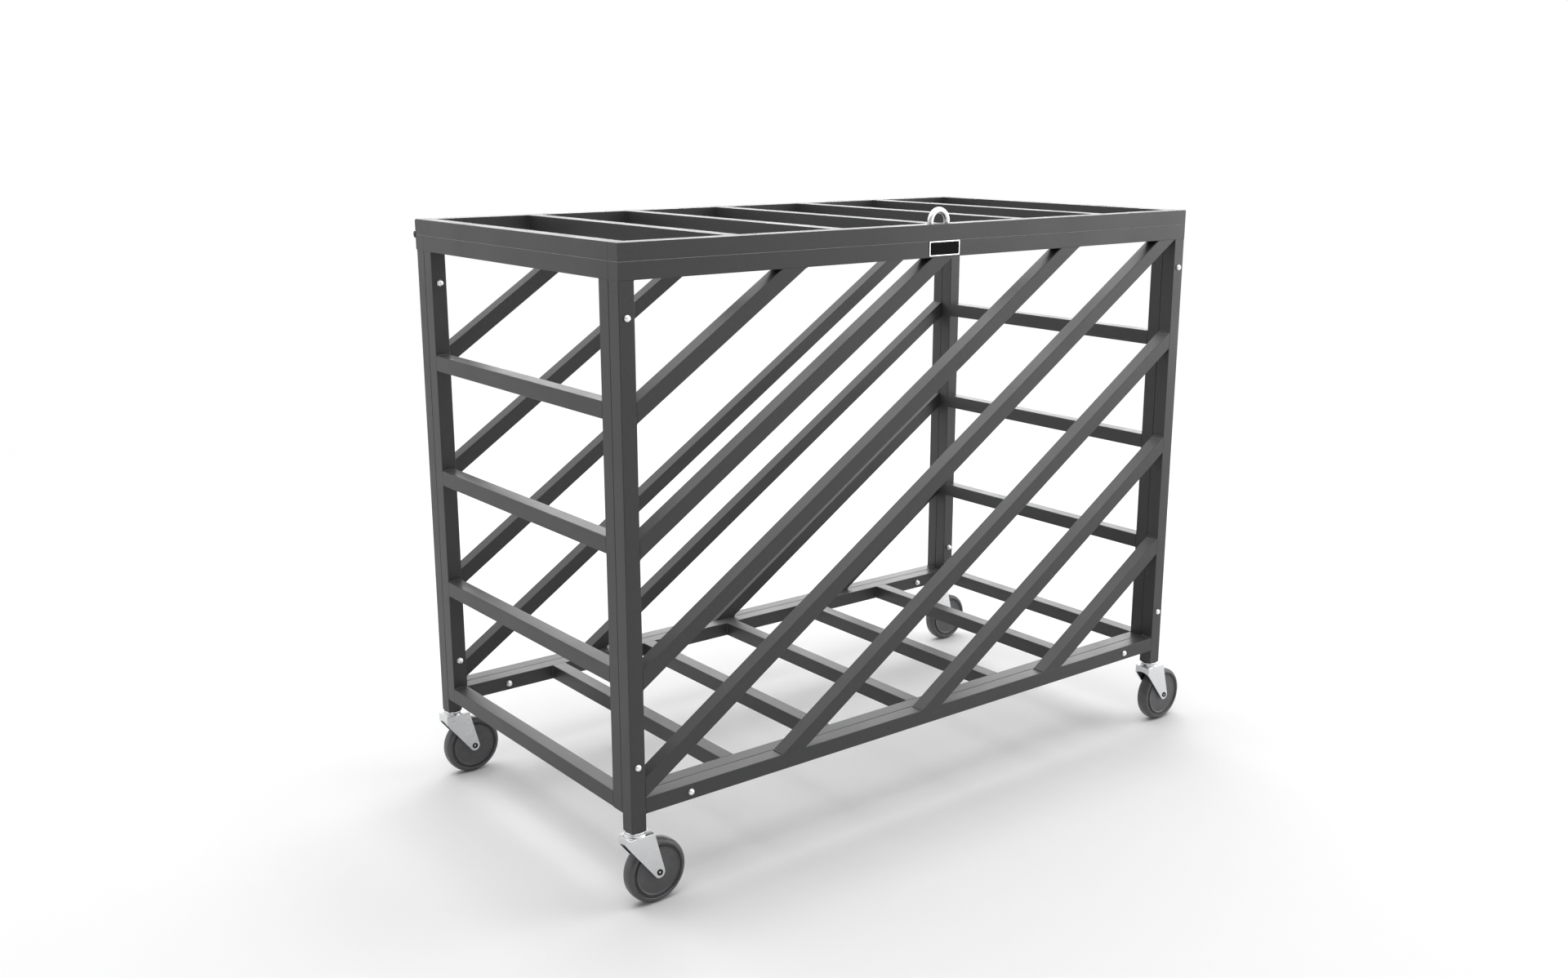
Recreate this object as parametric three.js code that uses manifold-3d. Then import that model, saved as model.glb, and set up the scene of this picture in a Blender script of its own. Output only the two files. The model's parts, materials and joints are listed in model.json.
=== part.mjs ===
// A ball cart: a lockable cage of square steel tube on four swivel casters, with a hinged lid.
// Lengths are in millimetres and angles in radians. X runs along the cage with its left end at
// minus X, Y runs from the front to the rear, and Z runs up from the floor.

import * as THREE from "three";
import { mergeVertices } from "three/addons/utils/BufferGeometryUtils.js";
import Module from "manifold-3d";

const wasm = await Module();
wasm.setup();

// Driving sizes of the cage
const tube = 25.4; // side of every square tube
const wall = 1.6; // wall of the square tube
const tubeCorner = 1.2; // outside corner radius of the square tube
const cageLength = 1198;
const cageWidth = 624.4;
const openingHeight = 755.6; // clear height between a side's bottom and top rails
const legStub = 26.3; // leg that shows below the bottom rails
const endRungs = 3; // middle rails of an end panel
const crossBars = 5; // cross bars of the lid, and of the floor
const drainRadius = 3; // drain holes under the closed rails
const drainInset = 60; // drain hole to the end of the lid

// Gaps and counts that all pieces share
const fitGap = 0.3; // left between pieces that seat on each other
const runGap = 0.25; // left round a shaft that turns
const overrun = 6; // how far a cutting shape runs past what it cuts
const cornerSteps = 1; // facets round a tube's corner
const holeSides = 8;

// Bolts with a domed head outside and a cap nut inside
const shankRadius = 3;
const boltHeadRadius = 5.3;
const boltHeadHeight = 4.2;
const nutRadius = 5.8; // over the corners of the hexagon
const nutBase = 3;
const nutDomeRadius = 4.8;
const nutHeight = 8;
const nutSides = 6;
const domeSteps = 2;
const legBoltInset = 50.8; // centre of a leg's bolt to the nearest side rail
const floorBoltInset = 105; // centre of a floor bolt to the end of the cage

// Continuous hinge along the rear edge of the lid
const leafThickness = 2.5;
const leafWidth = 24; // barrel's axis to the leaf's far edge
const pinRadius = 3;
const knuckles = 19; // an odd count, so that both ends of the barrel are on the fixed leaf
const knuckleGap = 0.5; // between neighbouring knuckles
const barrelSides = 8;
const pinOverhang = 0.4; // pin past the end of the barrel, on each side

// Padlock staple that stands up through the lid
const stapleRod = 9.5;
const stapleWidth = 44.2; // over the outside of the bend
const stapleHeight = 25.8; // top of the bend above the lid
const stapleSides = 8;
const stapleSteps = 20;
const slotGap = 0.8; // slot in the lid to the staple
const slotSteps = 3;

// Casters
const wheelDiameter = 101.6;
const wheelWidth = 24;
const wheelTrail = 32.3; // axle behind the swivel's axis
const treadFlat = 5; // half width of the level middle of the tread
const treadDrop = 6.5; // height of the rounded shoulder of the tread
const rimWidth = 7.8; // tread to the groove in the wheel's face
const grooveWidth = 4.5;
const discInset = 1.5; // disc's face in from the tread's side
const grooveDepth = 3.2; // groove in from the disc's face
const hubRadius = 9;
const hubGap = 0.6; // hub's face to the fork's cheek
const wheelSides = 24;
const shoulderSteps = 2;
const wheelClearance = 8.5; // top of the wheel to the kingpin's head
const forkWidth = 31.8;
const forkSheet = 2.5;
const forkNose = 19; // swivel's axis to the front of the fork
const forkTail = 24.6; // swivel's axis to the back of the fork's top
const forkLip = 14.5; // height of the front web, and of the cheeks' upright front edge
const lipArch = 3; // rise of the arch under the front web
const toeRadius = 9.1; // round end of a cheek, about the axle
const toeSteps = 6;
const axleRadius = 4;
const axleHeadRadius = 4.9;
const axleHeadHeight = 1.1;
const axleDimpleRadius = 3;
const axleDimpleDepth = 1.8;
const kingpinRadius = 5;
const kingpinHeadRadius = 8;
const kingpinHeadHeight = 3;
const raceRadius = 15.2;
const raceHeight = 7.6; // end of the leg to the fork's top
const upperRaceHeight = 3.4;
const raceChamfer = 1;
const lowerRaceFlare = 1.6; // how much wider the lower race is at its foot
const plugLength = 58;
const roundSides = 12;
const lipSides = 24;

// Sizes that follow
const bore = tube - 2 * wall;
const openingLength = cageLength - 2 * tube;
const railLength = openingLength - 2 * fitGap;
const railGap = (openingHeight - endRungs * tube) / (endRungs + 1);
const swivelHeight = raceHeight + forkSheet + fitGap + kingpinHeadHeight;
const casterHeight = wheelDiameter + wheelClearance + swivelHeight;
const railHeight = casterHeight + legStub + tube / 2;
const openingFloor = railHeight + tube / 2;
const topRailHeight = openingFloor + openingHeight + tube / 2;
const seamHeight = topRailHeight + tube / 2;
const legLength = openingFloor + openingHeight - fitGap - casterHeight;
const lidHeight = seamHeight + fitGap + tube / 2;
const legX = (cageLength - tube) / 2;
const sideY = (cageWidth - tube) / 2;
const panelWidth = cageWidth - 2 * tube - 2 * fitGap;
const stileY = (panelWidth - tube) / 2;
const barPitch = (cageLength - tube) / (crossBars + 1);
const boltSpan = 2 * tube + fitGap;
const knuckleRadius = pinRadius + runGap + leafThickness;
const hingeY = cageWidth / 2 + fitGap + knuckleRadius;
const hingeHeight = seamHeight + fitGap / 2;
const knuckleLength = cageLength / knuckles;
const stapleBend = (stapleWidth - stapleRod) / 2;

const powderCoat = new THREE.MeshStandardMaterial({ color: 0x4c4c4d, roughness: 0.45, metalness: 0.2 });
const hingeSteel = new THREE.MeshStandardMaterial({ color: 0x2b2b2c, roughness: 0.5, metalness: 0.3 });
const zinc = new THREE.MeshStandardMaterial({ color: 0xc9cacb, roughness: 0.3, metalness: 0.9 });
const wheelRubber = new THREE.MeshStandardMaterial({ color: 0x3b3b3c, roughness: 0.6, metalness: 0 });
const axleSteel = new THREE.MeshStandardMaterial({ color: 0x3a3a3b, roughness: 0.4, metalness: 0.8 });

// Helpers for solids

function solidOf(geometry) {
  const plain = geometry.clone();
  plain.deleteAttribute("normal");
  plain.deleteAttribute("uv");
  const merged = mergeVertices(plain);
  const vertProperties = new Float32Array(merged.attributes.position.array);
  const triVerts = new Uint32Array(merged.index.array);
  return new wasm.Manifold(new wasm.Mesh({ numProp: 3, vertProperties, triVerts }));
}

function geometryOf(solid) {
  const mesh = solid.getMesh();
  const geometry = new THREE.BufferGeometry();
  geometry.setAttribute("position", new THREE.BufferAttribute(mesh.vertProperties, 3));
  geometry.setIndex(new THREE.BufferAttribute(mesh.triVerts, 1));
  geometry.computeVertexNormals();
  return geometry;
}

function join(solids) {
  return solids.reduce((whole, solid) => whole.add(solid));
}

function cut(solid, cutters) {
  return cutters.reduce((rest, cutter) => rest.subtract(cutter), solid);
}

function boxSolid(size, centre) {
  const geometry = new THREE.BoxGeometry(...size);
  geometry.translate(...centre);
  return solidOf(geometry);
}

// Round bars along Y, X and Z, centred at a point.
function roundBarY(radius, length, sides, centre) {
  const geometry = new THREE.CylinderGeometry(radius, radius, length, sides);
  geometry.translate(...centre);
  return solidOf(geometry);
}

function roundBarX(radius, length, sides, centre) {
  const geometry = new THREE.CylinderGeometry(radius, radius, length, sides);
  geometry.rotateZ(Math.PI / 2);
  geometry.translate(...centre);
  return solidOf(geometry);
}

function roundBarZ(radius, length, sides, centre) {
  const geometry = new THREE.CylinderGeometry(radius, radius, length, sides);
  geometry.rotateX(Math.PI / 2);
  geometry.translate(...centre);
  return solidOf(geometry);
}

// A body of revolution about Y from a list of [radius, height], and the same about Z.
function turnedY(profile, sides) {
  return new THREE.LatheGeometry(profile.map(([radius, height]) => new THREE.Vector2(radius, height)), sides);
}

function turnedZ(profile, sides) {
  return turnedY(profile, sides).rotateX(Math.PI / 2);
}

// Radius of a regular polygon's corners when its flats lie at the given radius.
function overFlats(radius, sides) {
  return radius / Math.cos(Math.PI / sides);
}

// Points along an arc, both ends included.
function arcPoints(centre, radius, start, end, steps) {
  const points = [];
  for (let step = 0; step <= steps; step += 1) {
    const angle = THREE.MathUtils.lerp(start, end, step / steps);
    points.push([centre[0] + radius * Math.cos(angle), centre[1] + radius * Math.sin(angle)]);
  }
  return points;
}

// A rectangle about the origin with rounded corners, from its half sizes.
function roundedRectangle(halfX, halfY, radius, steps) {
  const corners = [[1, 1], [-1, 1], [-1, -1], [1, -1]];
  return corners.flatMap(([x, y], index) => {
    const start = (index * Math.PI) / 2;
    const middle = [x * (halfX - radius), y * (halfY - radius)];
    return arcPoints(middle, radius, start, start + Math.PI / 2, steps);
  });
}

function shapeOf(points) {
  return new THREE.Shape(points.map(([x, y]) => new THREE.Vector2(x, y)));
}

function extruded(points, depth) {
  const geometry = new THREE.ExtrudeGeometry(shapeOf(points), { depth, bevelEnabled: false });
  geometry.translate(0, 0, -depth / 2);
  return geometry;
}

// Square tube

function tubeOutline() {
  return roundedRectangle(tube / 2, tube / 2, tubeCorner, cornerSteps);
}

// Lays a bar made along Z from one point to another.
function laid(geometry, from, to) {
  const way = new THREE.Vector3().subVectors(to, from).normalize();
  const turn = new THREE.Quaternion().setFromUnitVectors(new THREE.Vector3(0, 0, 1), way);
  geometry.applyQuaternion(turn);
  const middle = new THREE.Vector3().addVectors(from, to).multiplyScalar(1 / 2);
  geometry.translate(middle.x, middle.y, middle.z);
  return solidOf(geometry);
}

// One length of tube between two points. The bore reaches past each end by its own amount: more
// than zero where the tube is open, less where it is capped, and zero where the point lies on
// the centre line of the tube that it is welded to, so that the bores meet there.
function member(start, end, startReach, endReach) {
  const from = new THREE.Vector3(...start);
  const to = new THREE.Vector3(...end);
  const way = new THREE.Vector3().subVectors(to, from).normalize();
  const boreFrom = from.clone().addScaledVector(way, -startReach);
  const boreTo = to.clone().addScaledVector(way, endReach);
  return {
    outside: laid(extruded(tubeOutline(), from.distanceTo(to)), from, to),
    inside: laid(new THREE.BoxGeometry(bore, bore, boreFrom.distanceTo(boreTo)), boreFrom, boreTo),
  };
}

function openMember(start, end) {
  return member(start, end, overrun, overrun);
}

function cappedMember(start, end) {
  return member(start, end, -wall, -wall);
}

function weldedMember(start, end) {
  return member(start, end, 0, 0);
}

function weldment(members) {
  const outside = join(members.map((each) => each.outside));
  const inside = join(members.map((each) => each.inside));
  return outside.subtract(inside);
}

function boltHole(centre) {
  const radius = overFlats(shankRadius + fitGap, holeSides);
  return roundBarY(radius, tube + 2 * overrun, holeSides, centre);
}

// Side frames: legs, rails and diagonals

// Made from the leg's lower end up to the underside of the top rail.
function legSolid() {
  const leg = weldment([openMember([0, 0, 0], [0, 0, legLength])]);
  const heights = [legStub + tube + legBoltInset, legLength + fitGap - legBoltInset];
  return cut(leg, heights.map((height) => boltHole([0, 0, height])));
}

function bottomRailSolid() {
  const rail = weldment([openMember([-railLength / 2, 0, 0], [railLength / 2, 0, 0])]);
  const boltX = cageLength / 2 - floorBoltInset;
  return cut(rail, [boltHole([-boltX, 0, 0]), boltHole([boltX, 0, 0])]);
}

function drainHole(x, y) {
  return roundBarZ(drainRadius, tube, holeSides, [x, y, -tube / 2]);
}

// Lies over the legs and is closed at both ends. Its drain holes open into the legs.
function topRailSolid() {
  const rail = weldment([cappedMember([-cageLength / 2, 0, 0], [cageLength / 2, 0, 0])]);
  return cut(rail, [drainHole(-legX, 0), drainHole(legX, 0)]);
}

// The staple's feet go through the upper wall.
function frontTopRailSolid() {
  const radius = overFlats(stapleRod / 2 + fitGap, stapleSides);
  const footHole = (x) => roundBarZ(radius, tube, stapleSides, [x, 0, tube / 2]);
  return cut(topRailSolid(), [footHole(-stapleBend), footHole(stapleBend)]);
}

// Heights of the end panels' middle rails above the opening's floor, from the top one down.
// Each diagonal but the middle one meets its post at one of these heights.
function rungHeights() {
  const heights = [];
  for (let rung = endRungs; rung > 0; rung -= 1) {
    heights.push(rung * (railGap + tube) - tube / 2);
  }
  return heights;
}

// A diagonal is a tube laid parallel to the opening's own diagonal and trimmed to the opening.
function diagonalSolid(through) {
  const angle = Math.atan2(openingHeight, openingLength);
  const reach = Math.hypot(openingHeight, openingLength) + tube;
  const stepX = reach * Math.cos(angle);
  const stepZ = reach * Math.sin(angle);
  const [x, z] = through;
  const bar = weldment([openMember([x - stepX, 0, z - stepZ], [x + stepX, 0, z + stepZ])]);
  const size = [railLength, tube + 2 * overrun, openingHeight - 2 * fitGap];
  return bar.intersect(boxSolid(size, [0, 0, openingHeight / 2]));
}

function diagonalSolids() {
  const angle = Math.atan2(openingHeight, openingLength);
  const left = -openingLength / 2;
  const right = openingLength / 2;
  const upper = rungHeights().map((height) => [left, height]);
  const middle = [left - (tube / 2) * Math.sin(angle), (tube / 2) * Math.cos(angle)];
  const lower = rungHeights().map((height) => [right, height]);
  return [...upper, middle, ...lower].map(diagonalSolid);
}

// End panel: its top rail lies over its stiles, and its bottom rail runs between them. Made about
// its own centre line, with its height counted from the opening's floor.
function endPanelSolid() {
  const top = openingHeight + tube / 2;
  const topRail = openMember([0, -panelWidth / 2, top], [0, panelWidth / 2, top]);
  const stiles = [-stileY, stileY].map((y) => member([0, y, -tube], [0, y, top], overrun, 0));
  const rungs = [-tube / 2, ...rungHeights()].map((z) => weldedMember([0, -stileY, z], [0, stileY, z]));
  const holes = [-stileY, stileY].flatMap((y) => [
    boltHole([0, y, legBoltInset]),
    boltHole([0, y, openingHeight - legBoltInset]),
  ]);
  return cut(weldment([topRail, ...stiles, ...rungs]), holes);
}

function barPlaces() {
  const middle = (crossBars - 1) / 2;
  return Array.from({ length: crossBars }, (_, index) => (index - middle) * barPitch);
}

function floorFrameSolid() {
  const rails = [-stileY, stileY].map((y) => openMember([-railLength / 2, y, 0], [railLength / 2, y, 0]));
  const bars = barPlaces().map((x) => weldedMember([x, -stileY, 0], [x, stileY, 0]));
  const boltX = cageLength / 2 - floorBoltInset;
  const holes = [-stileY, stileY].flatMap((y) => [boltHole([-boltX, y, 0]), boltHole([boltX, y, 0])]);
  return cut(weldment([...rails, ...bars]), holes);
}

// Lid

// How far a wall of the lid's front rail swings back while it rises clear of the staple, from
// the wall's height above the seam.
function swingOf(wallHeight) {
  const arm = hingeY + sideY;
  const angle = Math.asin((stapleHeight + tube - wallHeight) / arm);
  return arm * (1 - Math.cos(angle)) + wallHeight * Math.sin(angle);
}

// The slot lies round the staple, and is longer to the front by the swing.
function stapleSlot() {
  const swing = Math.max(swingOf(0), swingOf(tube));
  const halfX = stapleWidth / 2 + slotGap;
  const halfY = (stapleRod + swing) / 2 + slotGap;
  const outline = roundedRectangle(halfX, halfY, stapleRod / 2 + slotGap, slotSteps);
  return solidOf(extruded(outline, tube + 2 * overrun).translate(0, -sideY - swing / 2, 0));
}

function lidFrameSolid() {
  const half = cageLength / 2;
  const rails = [-sideY, sideY].map((y) => cappedMember([-half, y, 0], [half, y, 0]));
  const bars = [-legX, ...barPlaces(), legX].map((x) => weldedMember([x, -sideY, 0], [x, sideY, 0]));
  const drainX = half - drainInset;
  const drains = [-sideY, sideY].flatMap((y) => [drainHole(-drainX, y), drainHole(drainX, y)]);
  return cut(weldment([...rails, ...bars]), [stapleSlot(), ...drains]);
}

// Hinge: two leaves whose knuckles take turns along one pin. Made about the pin's axis, with the
// plate of the leaf on the side of minus Y and running down; the moving leaf is turned over.

function knuckleBar(index, radius, gap) {
  const x = (index + 1 / 2) * knuckleLength - cageLength / 2;
  return roundBarX(radius, knuckleLength + gap, barrelSides, [x, 0, 0]);
}

function leafSolid(ownKnuckles, otherKnuckles) {
  const plateY = leafThickness / 2 - knuckleRadius;
  const plate = boxSolid([cageLength, leafThickness, leafWidth - knuckleGap], [
    0,
    plateY,
    -(leafWidth + knuckleGap) / 2,
  ]);
  const roots = ownKnuckles.map((index) => knuckleBar(index, knuckleRadius, -knuckleGap));
  const arms = ownKnuckles.map((index) => {
    const x = (index + 1 / 2) * knuckleLength - cageLength / 2;
    const depth = knuckleRadius + knuckleGap;
    return boxSolid([knuckleLength - knuckleGap, leafThickness, depth], [x, plateY, -depth / 2]);
  });
  const notchSide = 2 * (knuckleRadius + knuckleGap);
  const notches = otherKnuckles.map((index) => {
    const x = (index + 1 / 2) * knuckleLength - cageLength / 2;
    return boxSolid([knuckleLength + knuckleGap, notchSide, notchSide], [x, 0, 0]);
  });
  const boreRadius = overFlats(pinRadius + runGap, barrelSides);
  const pinBore = roundBarX(boreRadius, cageLength + 2 * overrun, barrelSides, [0, 0, 0]);
  return cut(join([cut(plate, notches), ...roots, ...arms]), [pinBore]);
}

function hingeLeaves() {
  const all = Array.from({ length: knuckles }, (_, index) => index);
  const fixed = all.filter((index) => index % 2 === 0);
  const moving = all.filter((index) => index % 2 === 1);
  return { fixed: leafSolid(fixed, moving), moving: leafSolid(moving, fixed) };
}

// Padlock staple: two straight legs and a half round bend, drawn from foot to foot.
class StapleCurve extends THREE.Curve {
  constructor(straight, bend) {
    super();
    this.straight = straight;
    this.bend = bend;
  }

  getPoint(share) {
    const arc = Math.PI * this.bend;
    const travelled = share * (2 * this.straight + arc);
    if (travelled <= this.straight) {
      return new THREE.Vector3(-this.bend, 0, travelled);
    }
    if (travelled >= this.straight + arc) {
      return new THREE.Vector3(this.bend, 0, 2 * this.straight + arc - travelled);
    }
    const angle = (travelled - this.straight) / this.bend;
    const height = this.straight + this.bend * Math.sin(angle);
    return new THREE.Vector3(-this.bend * Math.cos(angle), 0, height);
  }
}

// Made from its feet up, which stand on the lower wall of the front top rail.
function stapleGeometry() {
  const height = stapleHeight + tube + fitGap + tube - wall - fitGap;
  const curve = new StapleCurve(height - stapleRod / 2 - stapleBend, stapleBend);
  const section = shapeOf(arcPoints([0, 0], stapleRod / 2, 0, 2 * Math.PI, stapleSides).slice(1));
  return new THREE.ExtrudeGeometry(section, { steps: stapleSteps, extrudePath: curve });
}

// Bolt along Y: its head outside the tube at zero, its shank through both tubes, its cap nut
// inside.
function boltSolid() {
  const quarter = Math.PI / 2;
  const dome = (radius, height, side) =>
    Array.from({ length: domeSteps }, (_, step) => {
      const angle = (quarter * step) / domeSteps;
      return [radius * Math.cos(angle), side * height * Math.sin(angle)];
    });
  const seat = boltSpan + fitGap;
  const head = dome(boltHeadRadius, boltHeadHeight, -1).map(([r, y]) => [r, y - fitGap]);
  const cap = dome(nutDomeRadius, nutHeight - nutBase, 1).map(([r, y]) => [r, y + seat + nutBase]);
  const profile = [
    [0, -fitGap - boltHeadHeight],
    ...head.reverse(),
    [shankRadius, -fitGap],
    [shankRadius, seat],
    [nutDomeRadius, seat],
    ...cap,
    [0, seat + nutHeight],
  ];
  const nut = roundBarY(nutRadius, nutBase, nutSides, [0, seat + nutBase / 2, 0]);
  return solidOf(turnedY(profile, holeSides)).add(nut);
}

// Caster, made about the swivel's axis, with its height counted down from the leg's end

const forkTop = -raceHeight;
const axleDrop = wheelDiameter / 2 - casterHeight;

function stemSolid() {
  const flangeFoot = -fitGap - upperRaceHeight;
  const headTop = forkTop - forkSheet - fitGap;
  const profile = [
    [0, headTop - kingpinHeadHeight],
    [kingpinHeadRadius, headTop - kingpinHeadHeight],
    [kingpinHeadRadius, headTop],
    [kingpinRadius, headTop],
    [kingpinRadius, flangeFoot],
    [raceRadius, flangeFoot],
    [raceRadius, -fitGap - raceChamfer],
    [raceRadius - raceChamfer, -fitGap],
    [0, -fitGap],
  ];
  const plugSide = bore - 2 * fitGap;
  const plugDepth = plugLength + fitGap + upperRaceHeight / 2;
  const plug = boxSolid([plugSide, plugSide, plugDepth], [0, 0, plugLength - plugDepth / 2]);
  return solidOf(turnedZ(profile, roundSides)).add(plug);
}

// The angle about a circle's centre at which a line from a point touches it, on one side.
function touchAngle(point, centre, radius, side) {
  const dx = point[0] - centre[0];
  const dy = point[1] - centre[1];
  return Math.atan2(dy, dx) + side * Math.acos(radius / Math.hypot(dx, dy));
}

function cheekOutline() {
  const axle = [wheelTrail, axleDrop];
  const front = [-forkNose, forkTop - forkLip];
  const back = [forkTail, forkTop];
  const start = touchAngle(front, axle, toeRadius, 1);
  const end = touchAngle(back, axle, toeRadius, -1);
  const sweep = THREE.MathUtils.euclideanModulo(end - start, 2 * Math.PI);
  return [
    [-forkNose, forkTop],
    front,
    ...arcPoints(axle, toeRadius, start, start + sweep, toeSteps),
    back,
  ];
}

function forkSolid() {
  const cheekY = (forkWidth - forkSheet) / 2;
  const cheeks = [-cheekY, cheekY].map((y) =>
    solidOf(extruded(cheekOutline(), forkSheet).rotateX(Math.PI / 2).translate(0, y, 0)),
  );
  const length = forkNose + forkTail;
  const middleX = (forkTail - forkNose) / 2;
  const top = boxSolid([length, forkWidth, forkSheet], [middleX, 0, forkTop - forkSheet / 2]);
  const web = boxSolid([forkSheet, forkWidth, forkLip], [
    forkSheet / 2 - forkNose,
    0,
    forkTop - forkLip / 2,
  ]);
  const halfArch = forkWidth / 2 - forkSheet;
  const archRadius = (halfArch * halfArch + lipArch * lipArch) / (2 * lipArch);
  const archDrop = forkTop - forkLip + lipArch - archRadius;
  const arch = roundBarX(archRadius, 2 * forkSheet, lipSides, [forkSheet / 2 - forkNose, 0, archDrop]);
  const archedWeb = web.subtract(arch);
  const race = turnedZ([
    [0, forkTop - forkSheet / 2],
    [raceRadius + lowerRaceFlare, forkTop - forkSheet / 2],
    [raceRadius + lowerRaceFlare, forkTop],
    [raceRadius, -2 * fitGap - upperRaceHeight],
    [0, -2 * fitGap - upperRaceHeight],
  ], roundSides);
  const kingpinHole = overFlats(kingpinRadius + runGap, roundSides);
  const axleHole = overFlats(axleRadius + fitGap, roundSides);
  const holes = [
    roundBarZ(kingpinHole, 2 * raceHeight + 2 * forkSheet, roundSides, [0, 0, forkTop]),
    roundBarY(axleHole, forkWidth + 2 * overrun, roundSides, [wheelTrail, 0, axleDrop]),
  ];
  return cut(join([...cheeks, top, archedWeb, solidOf(race)]), holes);
}

// A rivet with a dimpled head at each end, about its own middle.
function axleGeometry() {
  const seat = forkWidth / 2 + fitGap;
  const face = seat + axleHeadHeight;
  const half = [
    [axleRadius, seat],
    [axleHeadRadius, seat],
    [axleHeadRadius, face],
    [axleDimpleRadius, face],
    [axleDimpleRadius, face - axleDimpleDepth],
    [0, face - axleDimpleDepth],
  ];
  const mirrored = half.map(([radius, y]) => [radius, -y]).reverse();
  return turnedY([...mirrored, ...half], holeSides);
}

// Solid wheel with a rounded tread, a groove and a raised disc on each face, about its own
// middle. The flats of the tread's facets lie on the wheel's true radius.
function wheelGeometry() {
  const tread = overFlats(wheelDiameter / 2, wheelSides);
  const side = wheelWidth / 2;
  const disc = side - discInset;
  const rimRadius = wheelDiameter / 2 - rimWidth;
  const discRadius = rimRadius - grooveWidth;
  const hub = forkWidth / 2 - forkSheet - hubGap;
  const bearing = overFlats(axleRadius + runGap, wheelSides);
  const shoulder = Array.from({ length: shoulderSteps + 1 }, (_, step) => {
    const angle = ((Math.PI / 2) * step) / shoulderSteps;
    const radius = tread - treadDrop + treadDrop * Math.sin(angle);
    return [radius, treadFlat + (side - treadFlat) * Math.cos(angle)];
  });
  const half = [
    [bearing, hub],
    [hubRadius, hub],
    [hubRadius, disc],
    [discRadius, disc],
    [discRadius, disc - grooveDepth],
    [rimRadius, disc - grooveDepth],
    [rimRadius, side],
    ...shoulder,
  ];
  const mirrored = half.map(([radius, y]) => [radius, -y]).reverse();
  const closed = [...half, ...mirrored, half[0]].reverse();
  return turnedY(closed, wheelSides);
}

// Assembly

function piece(name, geometry, material) {
  const mesh = new THREE.Mesh(geometry, material);
  mesh.name = name;
  return mesh;
}

function placed(object, x, y, z) {
  object.position.set(x, y, z);
  return object;
}

const sides = [
  { name: "front", way: -1 },
  { name: "rear", way: 1 },
];
const ends = [
  { name: "left", way: -1 },
  { name: "right", way: 1 },
];

function sideFrames() {
  const legGeometry = geometryOf(legSolid());
  const bottomRailGeometry = geometryOf(bottomRailSolid());
  const topRailGeometries = {
    front: geometryOf(frontTopRailSolid()),
    rear: geometryOf(topRailSolid()),
  };
  const diagonalGeometries = diagonalSolids().map(geometryOf);
  return sides.map((side) => {
    const frame = placed(new THREE.Group(), 0, side.way * sideY, 0);
    for (const end of ends) {
      const leg = piece(`${side.name}_${end.name}_leg`, legGeometry, powderCoat);
      frame.add(placed(leg, end.way * legX, 0, casterHeight));
    }
    const topRail = piece(`${side.name}_top_rail`, topRailGeometries[side.name], powderCoat);
    const bottomRail = piece(`${side.name}_bottom_rail`, bottomRailGeometry, powderCoat);
    frame.add(placed(topRail, 0, 0, topRailHeight), placed(bottomRail, 0, 0, railHeight));
    diagonalGeometries.forEach((geometry, index) => {
      const diagonal = piece(`${side.name}_diagonal_${index + 1}`, geometry, powderCoat);
      frame.add(placed(diagonal, 0, 0, openingFloor));
    });
    return frame;
  });
}

function endPanels() {
  const geometry = geometryOf(endPanelSolid());
  return ends.map((end) => {
    const panel = piece(`${end.name}_end_panel`, geometry, powderCoat);
    return placed(panel, end.way * legX, 0, openingFloor);
  });
}

// Bolts are made for the front and turned half round for the rear.
function bolts() {
  const geometry = geometryOf(boltSolid());
  const boltX = cageLength / 2 - floorBoltInset;
  const places = [
    { name: "upper", x: legX, z: openingFloor + openingHeight - legBoltInset },
    { name: "lower", x: legX, z: openingFloor + legBoltInset },
    { name: "floor", x: boltX, z: railHeight },
  ];
  return sides.flatMap((side) =>
    ends.flatMap((end) =>
      places.map((place) => {
        const bolt = piece(`${side.name}_${end.name}_${place.name}_bolt`, geometry, zinc);
        bolt.rotation.z = side.way > 0 ? Math.PI : 0;
        return placed(bolt, end.way * place.x, (side.way * cageWidth) / 2, place.z);
      }),
    ),
  );
}

function hinge() {
  const leaves = hingeLeaves();
  const group = placed(new THREE.Group(), 0, hingeY, hingeHeight);
  const movingLeaf = piece("hinge_moving_leaf", geometryOf(leaves.moving), hingeSteel);
  movingLeaf.rotation.y = Math.PI;
  const pinGeometry = new THREE.CylinderGeometry(
    pinRadius,
    pinRadius,
    cageLength + 2 * pinOverhang,
    barrelSides,
  );
  const pin = piece("hinge_pin", pinGeometry, hingeSteel);
  pin.rotation.z = Math.PI / 2;
  group.add(piece("hinge_fixed_leaf", geometryOf(leaves.fixed), hingeSteel), movingLeaf, pin);
  return group;
}

function casters() {
  const stemGeometry = geometryOf(stemSolid());
  const forkGeometry = geometryOf(forkSolid());
  const axle = axleGeometry();
  const wheel = wheelGeometry();
  return sides.flatMap((side) =>
    ends.map((end) => {
      const name = `${side.name}_${end.name}_caster`;
      const caster = placed(new THREE.Group(), end.way * legX, side.way * sideY, casterHeight);
      const wheelMesh = piece(`${name}_wheel`, wheel, wheelRubber);
      wheelMesh.rotation.y = Math.PI / wheelSides;
      caster.add(
        piece(`${name}_stem`, stemGeometry, zinc),
        piece(`${name}_fork`, forkGeometry, zinc),
        placed(piece(`${name}_axle`, axle, axleSteel), wheelTrail, 0, axleDrop),
        placed(wheelMesh, wheelTrail, 0, axleDrop),
      );
      return caster;
    }),
  );
}

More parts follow.
